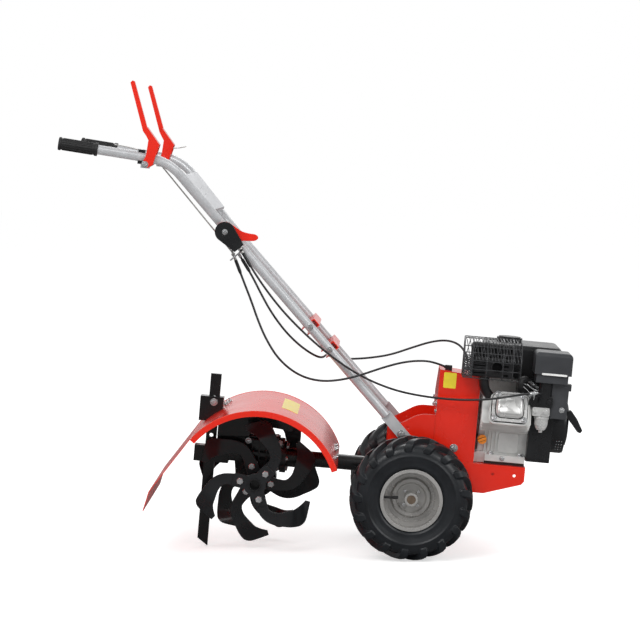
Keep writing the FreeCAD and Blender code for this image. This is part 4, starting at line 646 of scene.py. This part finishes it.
def blade(made, across, outward, phase, inset):
    turn = math.radians(phase)
    rings = []
    for lead_x, lead_z, trail_x, trail_z, share in smooth_stations(BLADE, 3):
        corners = []
        for (x, z), level in (((lead_x, lead_z), 0), ((trail_x, trail_z), 0), ((trail_x, trail_z), 1),
                              ((lead_x, lead_z), 1)):
            y = across + outward * (FLANGE_HALF + BLADE_THICK * level - inset * share)
            corners.append(Vector((ROTOR[0] + x * math.cos(turn) - z * math.sin(turn), y,
                                   ROTOR[1] + x * math.sin(turn) + z * math.cos(turn))))
        rings.append(corners)
    made.loft(rings)


STAR_REACH, STAR_ARM, STAR_HUB, STAR_BORE, STAR_THICK = 60.0, 18.5, 30.0, 14.0, 4.5
STAR_STEP = 2.5


def star(across, outward, phase):
    """Three-armed clamp plate over the outer blades, round an open bore."""
    made = Kit()
    rings = [[], [], [], []]
    for step in range(int(360 / STAR_STEP)):
        turn = math.radians(phase + STAR_STEP * step)
        reach = STAR_HUB
        for arm in range(3):
            off = math.radians(STAR_STEP * step - 120 * arm)
            if math.cos(off) > 0.3:
                reach = max(reach, min(STAR_REACH / math.cos(off), STAR_ARM / max(abs(math.sin(off)), 1e-6)))
        for ring, radius, level in zip(rings, (STAR_BORE, reach, reach, STAR_BORE), (0, 0, 1, 1)):
            ring.append(polar(ROTOR, across + outward * STAR_THICK * level, radius, turn))
    made.loop(rings)
    return made


for index, (across, phase, inset) in enumerate(SETS, 1):
    outward = 1 if across > 0 else -1
    outer = abs(across) > 100
    blades, bolts = Kit(), Kit()
    face = across + outward * (FLANGE_HALF + BLADE_THICK)
    if outer:
        star(face, outward, phase).done("clamp_plate_%d" % index, "tine_rotor", BLADE_PAINT, "black_paint",
                                        bevel=0.8)
        face += outward * STAR_THICK
    for turn in range(3):
        angle = phase + 120 * turn
        blade(blades, across, outward, angle, inset)
        spot = polar(ROTOR, face, BOLT_RADIUS, math.radians(angle))
        bolts.bolt(spot, (0, outward, 0), 17, 7, washer=False)
        nut = polar(ROTOR, across - outward * FLANGE_HALF, BOLT_RADIUS, math.radians(angle))
        bolts.bolt(nut, (0, -outward, 0), 17, 8)
        bolts.rod(nut, nut + Vector((0, -outward * 14, 0)), 4.6)
    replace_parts(blades.done("blades_%d" % index, "tine_rotor", BLADE_PAINT, "black_paint", bevel=0.9, crease=40),
                "tine_set_%d" % index)
    bolts.done("blade_bolts_%d" % index, "tine_rotor", ZINC, "steel", bevel=0.5)


# ---- fasteners of the chassis -------------------------------------------------------------------------------
plates = Kit()
for side in (-1, 1):
    out = (0, side, 0)
    plates.bolt((-40, side * 122, 158), out, 13, 5)
    plates.bolt((104.9, side * 116, 132.4), out, 13, 5)
    plates.bolt((-15, side * 118, 60), out, 13, 5)
for height in (226, 247):
    plates.bolt((49.5, -100, height), (-1, 0, 0), 10, 4)
    plates.bolt((49.5, 88, height), (-1, 0, 0), 10, 4)
plates.bolt((238, -100, 112.8), (0, -1, 0), 8, 3)
for x in (206, 285):
    for side in (-1, 1):
        plates.bolt((x, side * 90, 122), (0, 0, 1), 12, 6)
plates.done("chassis_bolts", "chassis", ZINC, "steel", bevel=0.5)


# ---- under the hood -----------------------------------------------------------------------------------------
HOOD, HOOD_R, CARRIER_R = (-413.5, -28.0), 229.0, 221
carrier = Kit()
arch = [(x, HOOD[1] + math.sqrt(CARRIER_R ** 2 - (x - HOOD[0]) ** 2)) for x in range(-534, -318, 12)]
carrier.plate(-43, [(-534, 157), *arch, (-322, 157)], 86)
carrier.plate(-40, [(-538, 98), (-538, 158), (-330, 158), (-335, 128), (-392, 134), (-418, 150), (-440, 132),
                    (-452, 104)], 80)
carrier.box(-538, -462, -30, 30, 46, 99)
carrier.done("hood_carrier", "chassis", BLACK, "black_paint", bevel=2, crease=50)
case = Kit()
pillow(case, filleted([(-34, 60), (-34, 101), (34, 101), (34, 60)], 9), -462, -352, 6)
pillow(case, filleted([(-27, 98), (-27, 108), (27, 108), (27, 98)], 5), -448, -366, 3)
for x in (-440, -420, -400, -380):
    case.box(x - 2, x + 2, -36, 36, 30, 99)
collar(case, (ROTOR[0], -30, ROTOR[1]), (ROTOR[0], 30, ROTOR[1]), 52, 16)
case.plate(-24, filleted([(-478, -20), (-490, 60), (-440, 70), (-430, 20)], 10), 48)
case.done("gearbox_case", "chassis", BLACK, "black_paint", bevel=1.2)
lids = Kit()
for x, z, y in ((-430, 33, -36), (-452, 92, -36), (-366, 92, -36), (-452, 40, -36)):
    lids.bolt((x, y, z), (0, -1, 0), 10, 5)
for x in (-440, -374):
    lids.bolt((x, -14, 108), (0, 0, 1), 10, 5)
for turn in range(6):
    angle = math.radians(30 + 60 * turn)
    lids.bolt((-346, 36 * math.sin(angle), 52 + 36 * math.cos(angle)), (1, 0, 0), 10, 5)
lids.done("gearbox_bolts", "chassis", ZINC, "steel", bevel=0.4)


# ---- silencer and its guard ---------------------------------------------------------------------------------
OUTLET_X, OUTLET_Z = 197, 366
silencer = Kit()
pillow(silencer, filleted([(-176, 336), (-176, 386), (-146, 425), (-119, 427), (-119, 336)], 9), 127, 240, 9)
silencer.lathe((OUTLET_X, -176, OUTLET_Z), (OUTLET_X, -181, OUTLET_Z), [(0, 17), (0.7, 17), (1, 15)], 32)
silencer.tube([(167, -146, 340), (167, -144, 326), (169, -140, 312), (174, -134, 299), (183, -127, 287),
               (196, -119, 277), (212, -110, 270)], 13, 20)
for z in (383, 373, 363, 353):
    silencer.slab([(135, -176, z), (167, -176, z), (167, -180, z - 3.5), (135, -180, z - 3.5)], Z, 1.2)
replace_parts(silencer.done("silencer", "chassis", STOVE, "black_paint", bevel=0.8), "muffler")
# Black slots, outlet and louvre gaps on the silencer: painted shade for the dark inside its openings.
openings = Kit()
openings.rod((OUTLET_X, -176, OUTLET_Z), (OUTLET_X, -181.4, OUTLET_Z), 13.5, sides=32)
for z in (378, 368, 358, 348):
    openings.box(136, 166, -176.6, -170, z - 2, z + 2.6)
for z in (381, 369, 357, 345):
    openings.box(216, 228, -176.6, -170, z - 2.6, z + 2.6)
for step in range(10):
    x = 135 + 10.6 * step
    openings.slab([(x, -174.4, 390.5), (x + 4.4, -174.4, 390.5), (x + 4.4, -156, 414.5), (x, -156, 414.5)],
                  (0, -0.8, 0.6), 1.4)
openings.done("silencer_openings_painted_shade", "chassis", PAINTED_SHADE, "black_paint", bevel=0.3)

CAGE_INNER, CAGE_FLOOR, CAGE_TOP = -119.6, 333.6, 438.2
# Corners of the guard's section as (y, z): top of the upright face, end of the slope, and start of the top.
CAGE_FACE, CAGE_KNEE, CAGE_BEND = (-186, 391), (-151, 428.5), (-146, 431.4)
CAGE = [Vector(point) for point in ((-188.4, CAGE_FLOOR), (-188.4, 386), CAGE_FACE, CAGE_KNEE, CAGE_BEND,
                                    (CAGE_INNER, CAGE_TOP))]
# Length round the section at each of its corners.
SPAN = [0.0]
for low, high in zip(CAGE, CAGE[1:]):
    SPAN.append(SPAN[-1] + (high - low).length)


def on_cage(x, reach):
    """Point of the guard at a place along X and a length round its section."""
    reach = min(max(reach, 0.0), SPAN[-1])
    for index, (low, high) in enumerate(zip(SPAN, SPAN[1:])):
        if reach <= high:
            y, z = CAGE[index].lerp(CAGE[index + 1], (reach - low) / (high - low))
            return Vector((x, y, z))


def cage_wire(kit, x0, reach0, x1, reach1, radius):
    kit.tube([on_cage(x0 + (x1 - x0) * step / 12, reach0 + (reach1 - reach0) * step / 12) for step in range(13)],
             radius, 6)


guard = Kit()
SHOULDER, WHOLE = SPAN[1], SPAN[-1]
REAR, FRONT = 107.8, 260.2
for x in (REAR, 131, 169, 212, 239, FRONT):
    cage_wire(guard, x, 0, x, WHOLE, 1.5)
for reach in (0, SHOULDER * 0.45, SHOULDER - 6, SHOULDER + 18, SHOULDER + 40, WHOLE - 12, WHOLE):
    guard.tube([on_cage(x, reach) for x in (REAR, 180, FRONT)], 1.4, 6)
for step in range(17):
    x = REAR + 8.6 * step
    cage_wire(guard, x, WHOLE, x + 15, SHOULDER - 4, 1.1)
for step in range(7):
    x = REAR + 4 + 21 * step
    cage_wire(guard, x + 15, WHOLE, x, SHOULDER + 10, 1.0)
for step in range(6):
    x = REAR + 4 * step
    cage_wire(guard, x, 2, x + 4, SHOULDER, 1.0)
for step in range(10):
    reach = 6 * step
    cage_wire(guard, REAR, reach, 131, reach + 12, 1.3)
    cage_wire(guard, REAR, reach + 12, 131, reach, 1.3)
# Ends of the guard: uprights over 66 mm of depth, and level wires that stop at the sloping shoulder.
FACE_Y, FACE_Z = CAGE_FACE
KNEE_Y = CAGE_KNEE[0]
SHOULDER_RISE, TOP_RISE, KNEE_Z = 1.07, 0.26, 430
for x, uprights in ((REAR, 8), (FRONT, 4)):
    for step in range(uprights):
        y = FACE_Y + 66 * (step + 0.5) / uprights
        top = FACE_Z + (y - FACE_Y) * SHOULDER_RISE if y < KNEE_Y else KNEE_Z + (y - KNEE_Y) * TOP_RISE
        guard.tube([(x, y, CAGE_FLOOR), (x, y, top)], 1.0, 6)
    for z in (CAGE_FLOOR, 352, 371, 390, 410, 428):
        back = FACE_Y if z < FACE_Z else FACE_Y + (z - FACE_Z) / SHOULDER_RISE
        guard.tube([(x, back, z), (x, CAGE_INNER, z)], 1.2, 6)
for x in (REAR, FRONT):
    guard.tube([(x, CAGE_INNER, CAGE_FLOOR), (x, CAGE_INNER, CAGE_TOP)], 1.5, 6)
guard.tube([(REAR, CAGE_INNER, CAGE_FLOOR), (FRONT, CAGE_INNER, CAGE_FLOOR)], 1.5, 6)
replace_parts(guard.done("guard_wires", "chassis", WIRE, "black_paint", crease=60), "muffler_guard")


# ---- engine detail ------------------------------------------------------------------------------------------
# The cylinder leans outwards and up from its base; its cover sits on its far end.
LEAN = math.radians(25)
OUTWARD = Vector((0, -math.cos(LEAN), math.sin(LEAN)))
UPWARD = Vector((0, math.sin(LEAN), math.cos(LEAN)))
BASE = Vector((242, -78, 223))
BARREL = 84
COVER = BASE + OUTWARD * BARREL
COVER_BOLTS = ((-40, -34), (40, -34), (-33, 34), (33, 34))


def leaned(kit, base, outline, levels):
    """Solid over a (u, v) outline square to the lean; each level is (height over the base, share of its size)."""
    kit.loft([[base + X * u * share + UPWARD * v * share + OUTWARD * out for u, v in outline]
              for out, share in levels])


bolts = Kit()
for x, up in COVER_BOLTS:
    bolts.bolt(COVER + X * x + UPWARD * up + OUTWARD * 8, OUTWARD, 10, 5)
bolts.bolt((382.5, -138, 262.4), (0, -1, 0), 9, 5)
for x, z in ((180, 120), (292, 120), (292, 262), (180, 262)):
    bolts.bolt((x, -78, z), (0, -1, 0), 10, 4)
# Silver studs round the recoil starter's vents are painted glints: bright dots where light catches the vents.
for step in range(4):
    for x in (383, 390, 397):
        turn = math.radians(30 + 8 * step)
        way = Vector((0, -math.cos(turn), -math.sin(turn)))
        spot = Vector((x, 0, 210))
        bolts.rod(spot + way * 77, spot + way * 80.5, 1.6, sides=10)
bolts.done("engine_bolts_and_painted_glints", "chassis", ZINC, "steel", bevel=0.4)
ribs = Kit()
ribs.plate(-78, rounded_outline(224, 280, 127, 182, 8), -2.5)
for x in (186, 196, 206, 216):
    ribs.box(x, x + 3, -82, -78, 124, 190)
ribs.done("crankcase_ribs", "chassis", CAST, "cast_aluminium", bevel=0.8)
links = Kit()
links.tube([(270, -128, 326), (286, -130, 322), (302, -130, 312), (320, -132, 306), (344, -130, 298)], 1.6, 8)
links.tube([(276, -126, 316), (300, -126, 296), (332, -127, 284)], 1.4, 8)
links.spring((284, -124, 334), (318, -124, 314), 4.0, 0.9, 14)
links.spring((300, -134, 288), (300, -134, 262), 3.6, 0.8, 11)
links.bolt((326, -134, 298), (0, -1, 0), 8, 5)
links.bolt((296, -134, 294), (0, -1, 0), 7, 5)
links.lathe((289, -175, 303.2), (312, -164, 306.2),
            [(0, 4.4), (0.45, 4.4), (0.46, 6), (0.7, 6), (0.71, 4), (1, 3.6)], 16)
links.slab([(302, y, z) for y, z in filleted([(-179, 296), (-179, 314), (-142, 314), (-142, 284), (-158, 284)], 4)],
           (1, 0, 0), 2)
links.tube([(311, -164.5, 306), (319, -154, 304), (326, -140, 300)], 1.0, 8)
links.done("governor_links", "chassis", ZINC, "steel", bevel=0.3)
boot = Kit()
boot.plate(-134, [(290, 298), (322, 306), (332, 296), (318, 290), (294, 289)], 2)
boot.plate(-122, [(278, 330), (288, 336), (318, 322), (340, 300), (330, 294), (306, 312)], 2)
boot.tube([(266, -150, 316), (265, -154, 327), (266, -152, 335), (273, -145, 338), (281, -136, 337)], 8.5, 20)
boot.tube([(281, -136, 337), (292, -122, 334), (298, -104, 326), (300, -90, 312)], 3.6, 12)
boot.done("engine_rubber", "chassis", SOFT, "rubber", bevel=0.5)
seam = Kit()
seam.plate(-166, rounded_outline(318, 386, 355.4, 361.0, 2.4), -0.8)
seam.done("cleaner_strip", "chassis", PALE, "light_plate", bevel=0.3)


# ---- labels, hood edges and hole cap ------------------------------------------------------------------------
HOOD_EDGE_R, HOOD_EDGE_Y = 228.4, 248.6
FAR_HOLE_X, FAR_HOLE_Z = -23.35, 176.9
labels = Kit()
labels.plate(-116, rounded_outline(61, 95, 293, 335, 3), -0.35)
rows = []
for step in range(9):
    turn = math.radians(66.7 + 11.6 * step / 8)
    rows.append([polar(HOOD, y, radius, turn) for radius, y in ((HOOD_R - 0.5, -86), (HOOD_R + 0.5, -86),
                                                                (HOOD_R + 0.5, 142), (HOOD_R - 0.5, 142))])
labels.loft(rows)
edges = Kit()
for y in (-HOOD_EDGE_Y, HOOD_EDGE_Y):
    edges.tube([polar(HOOD, y, HOOD_EDGE_R, math.radians(turn)) for turn in range(24, 144, 3)], 1.5, 8)
edges.done("hood_edges", "chassis", RED, "red_paint")
cap = Kit()
cap.rod((FAR_HOLE_X, 109.5, FAR_HOLE_Z), (FAR_HOLE_X, 113.6, FAR_HOLE_Z), 5.0)
cap.done("far_hole_cap", "chassis", RED, "red_paint")
labels.done("labels", "chassis", YELLOW, "light_plate")


# ---- bolts of the hood, braces and levers, and cable adjusters ----------------------------------------------
LEVER_X, LEVER_Z = -776.5, 821.5
THROTTLE_X, THROTTLE_Z = -557.3, 660.1
more = Kit()
for angle, y in ((119.8, 74), (118.5, 99), (117.2, 124), (30.8, 30), (29.9, 5), (29.6, -20), (28.8, -158)):
    way = Vector((math.cos(math.radians(angle)), 0, math.sin(math.radians(angle))))
    spot = Vector((HOOD[0], y, HOOD[1])) + way * HOOD_R
    more.bolt(spot, way, 9, 5)
    more.rod(spot, spot + way * 12, 2.2)
more.bolt((-556, -18, 187), (0, -1, 0), 12, 6)
for side in (-1, 1):
    for x, z in ((-308, 425), (-251, 369)):
        more.bolt((x, side * 131, z), (0, side, 0), 9, 4)
    more.bolt((LEVER_X, side * 241, LEVER_Z), (0, side, 0), 11, 5)
    more.bolt((LEVER_X, side * 203, LEVER_Z), (0, -side, 0), 11, 5)
more.bolt((THROTTLE_X, -150, THROTTLE_Z), (0, -1, 0), 9, 4)
more.done("frame_bolts", "chassis", ZINC, "steel", bevel=0.4)
# Where a cable's adjuster starts and ends, as shares of the route's first run.
SLEEVE_START, SLEEVE_END = 0.2, 1.6
sleeves = Kit()
for _, route in ROUTES.values():
    start, end = Vector(route[0]), Vector(route[1])
    sleeves.lathe(start.lerp(end, SLEEVE_START), start.lerp(end, SLEEVE_END), [(0, 4.6), (0.8, 4.6), (1, 3.4)], 16)
for z in (822, 852):
    sleeves.box(-797, -779, -230, -214, z, z + 8)
sleeves.done("cable_adjusters", "chassis", PLASTIC, "black_plastic", bevel=0.4)


# ---- handlebar plate, throttle paddle and wires -------------------------------------------------------------
plate = Kit()
plate.slab([(-684.8, -104, 801.6), (-605.3, -104, 710.9), (-580, 104, 718.9), (-663.9, 104, 808.6)], (-0.7, 0, -0.7),
           1.6)
plate.slab([(-605.3, -104, 710.9), (-580, 104, 718.9), (-581, 104, 713.5), (-606.3, -104, 705.5)],
           (-0.7, 0, -0.7), 1.6)
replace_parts(plate.done("blank_plate", "chassis", PLATE, "light_plate", bevel=0.5), "bar_plate")
paddle = Kit()
paddle.rod((THROTTLE_X, -133, THROTTLE_Z), (THROTTLE_X, -138, THROTTLE_Z), 27.2, sides=48)
edge = filleted([(-548, 686), (-530, 675), (-514, 665), (-494, 661), (-474, 660.5), (-466, 652), (-474, 642),
                 (-509, 640), (-545, 634)], 12, 5)
paddle.plate(-131.5, edge, -6.5)
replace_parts(paddle.done("throttle_paddle", "chassis", RED, "red_paint", bevel=1.4, crease=40), "throttle_lever")
wires = Kit()
wires.tube([(-862, -222, 866.6), (-830, -222, 864), (-794, -222, 858)], 1.4, 8)
wires.tube([(-742, 190, 867), (-724, 190, 870), (-706, 190, 875)], 1.6, 8)
for name, back in (("clutch", (-538, -103, 611)), ("throttle", (-517, -144, 627))):
    route = ROUTES[name][1]
    wires.lathe(back, Vector(route[0]).lerp(Vector(route[1]), SLEEVE_START),
                [(0, 3.2), (0.3, 3.2), (0.32, 5.4), (0.5, 5.4), (0.52, 4.0), (1, 4.0)], 12)
wires.done("control_wires", "chassis", RIM, "steel", bevel=0.2)


# ---- carburettor, intake, valve cover, painted shade lines, dipstick and crankcase foot ---------------------
float_bowl = Kit()
float_bowl.lathe((331, -130, 241), (331, -130, 197), [(0, 20), (0.06, 20.5), (0.14, 20.5), (0.17, 18.5), (0.5, 18),
                                                      (0.68, 15.5), (0.84, 11), (0.87, 6), (1, 5)], 36)
float_bowl.plate(-150, filleted([(303, 242), (303, 266), (350, 266), (350, 242)], 6), 40)
float_bowl.bolt((311, -150, 254), (0, -1, 0), 8, 4)
float_bowl.rod((338, -150, 256), (338, -157, 256), 6)
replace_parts(float_bowl.done("float_bowl", "chassis", BRIGHT_CAST, "cast_aluminium", bevel=0.7), "carburettor")
intake = Kit()
intake.tube([(334, -134, 340), (334, -134, 322), (333, -134, 304), (330, -133, 288), (327, -131, 274),
             (326, -130, 264)], 19, 24)
intake.plate(-146, filleted([(297, 264), (297, 292), (318, 300), (356, 296), (356, 264)], 7), 36)
intake.rod((304, -146, 286), (304, -152, 286), 9)
intake.rod((346, -146, 282), (346, -150, 282), 6)
intake.box(292, 300, -150, -120, 270, 284)
intake.done("intake_elbow", "chassis", PLASTIC, "black_plastic", bevel=1.0)
cover = Kit()
corners = filleted([(-47, -41), (-47, 30), (-30, 43), (30, 43), (47, 30), (47, -41)], 14, 5)
leaned(cover, COVER, corners, ((0, 1), (6, 1)))
dome = filleted([(-37, -31), (-37, 20), (-24, 35), (24, 35), (37, 20), (37, -31)], 18, 6)
leaned(cover, COVER, dome, ((5, 1), (10, 0.985), (14, 0.95), (17, 0.89), (18.6, 0.82), (19, 0.74)))
bell = filleted([(-29, -25), (-29, -6), (-12, 6), (-11, 27), (11, 27), (12, 6), (29, -6), (29, -25)], 7)
leaned(cover, COVER, bell, ((14, 1), (22.5, 0.98), (24, 0.9)))
for x, up in COVER_BOLTS:
    foot = COVER + X * x + UPWARD * up + OUTWARD * 5
    cover.rod(foot, foot + OUTWARD * 3, 8.5)
# Painted shade: black rims round the cover's flange and dome, and round the dipstick's grip bar, where shadow gaps
# fall.
shade_rims = Kit()
leaned(shade_rims, COVER, corners, ((-1.5, 1.045), (1.2, 1.045)))
leaned(shade_rims, COVER, dome, ((5.5, 1.05), (7, 1.05)))
shade_rims.plate(-96, filleted([(171, 151), (167.3, 159.4), (189, 169), (192.7, 160.6)], 3), -0.6)
shade_rims.done("painted_shade_lines", "chassis", PAINTED_SHADE, "rubber")
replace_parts(cover.done("rocker_cover", "chassis", BRIGHT_CAST, "cast_aluminium", bevel=1.2, crease=50), "valve_cover")
DIPSTICK = (180, 160)
knob = Kit()
knob.lathe((DIPSTICK[0], -84, DIPSTICK[1]), (DIPSTICK[0], -94, DIPSTICK[1]),
           [(0, 11), (0.15, 12.4), (0.85, 12.4), (1, 11)], 40)
knob.plate(-94, filleted([(170.3, 152.2), (167.7, 158), (189.7, 167.8), (192.3, 162)], 2.4), -7)
for turn in range(12):
    angle = math.radians(30 * turn)
    knob.rod(polar(DIPSTICK, -86, 12, angle), polar(DIPSTICK, -93, 12, angle), 1.3, sides=8)
knob.done("dipstick_grip", "chassis", ORANGE, "orange_plastic", bevel=0.5)
foot = Kit()
foot.plate(-86, filleted([(160, 97), (160, 120), (170, 126), (200, 126), (200, 97)], 3), 40)
for z in (186, 204, 222, 240, 258, 276):
    foot.plate(-100, [(168.5, z), (170, z), (170, z + 5), (168.5, z + 5)], 90)
foot.done("crankcase_foot", "chassis", CAST, "cast_aluminium", bevel=0.8)


# ---- cylinder, intake duct, grip rings and stake plug -------------------------------------------------------
GRIP_RADIUS, GRIP_RIBS = 15.5, 18
STAKE_HOLE = (-556.5, 234.0)
FIN_PITCH, FIN_THICK = 10.5, 3
barrel = Kit()
leaned(barrel, BASE, filleted([(-48, -36), (-48, 36), (48, 36), (48, -36)], 10), ((-8, 1), (BARREL, 1)))
for step in range(7):
    grow = 2 * (step % 2)
    fin = [(-72 + grow, -44), (-72 + grow, 38), (-56, 44), (52, 44), (60 - grow, 34), (60 - grow, -44)]
    low = 4 + FIN_PITCH * step
    leaned(barrel, BASE, filleted(fin, 9), ((low, 1), (low + FIN_THICK, 1)))
head = filleted([(-53, -47), (-53, 33), (-34, 45), (34, 45), (53, 33), (53, -47)], 14)
leaned(barrel, BASE, head, ((74, 1), (83.6, 1)))
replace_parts(barrel.done("cylinder", "chassis", CAST, "cast_aluminium", bevel=0.8, crease=50), "cylinder_head")
duct = Kit()
duct.plate(-98, filleted([(262, 290), (262, 334), (348, 334), (348, 300), (330, 290)], 6), 60)
duct.done("intake_duct", "chassis", PLASTIC, "black_plastic", bevel=1)
for side, name in SIDES:
    knee, end = Vector((-718, side * 218, 836)), Vector((-1003, side * 238, 857))
    along = (knee - end).normalized()
    tip, inner = end - along * 4, end + along * 100
    rings = Kit()
    for at, wide in ((tip + along, 6), (inner - along * 8, 7.5)):
        collar(rings, at, at + along * wide, GRIP_RADIUS + 2.0, GRIP_RADIUS - 1.5, 40)
    for step in range(GRIP_RIBS):
        turn = 2 * math.pi * step / GRIP_RIBS
        aside = (Y * math.cos(turn) + along.cross(Y) * math.sin(turn)) * (GRIP_RADIUS + 0.2)
        rings.rod(tip + along * 12 + aside, inner - along * 14 + aside, 1.0, sides=8)
    rings.done("grip_rings_" + name, "chassis", SOFT, "rubber", bevel=0.5)
plug = Kit()
plug.rod((STAKE_HOLE[0], -4, STAKE_HOLE[1]), (STAKE_HOLE[0], 4, STAKE_HOLE[1]), 6.4, sides=32)
plug.done("stake_plug", "stake", BLACK, "black_paint", bevel=0.2)
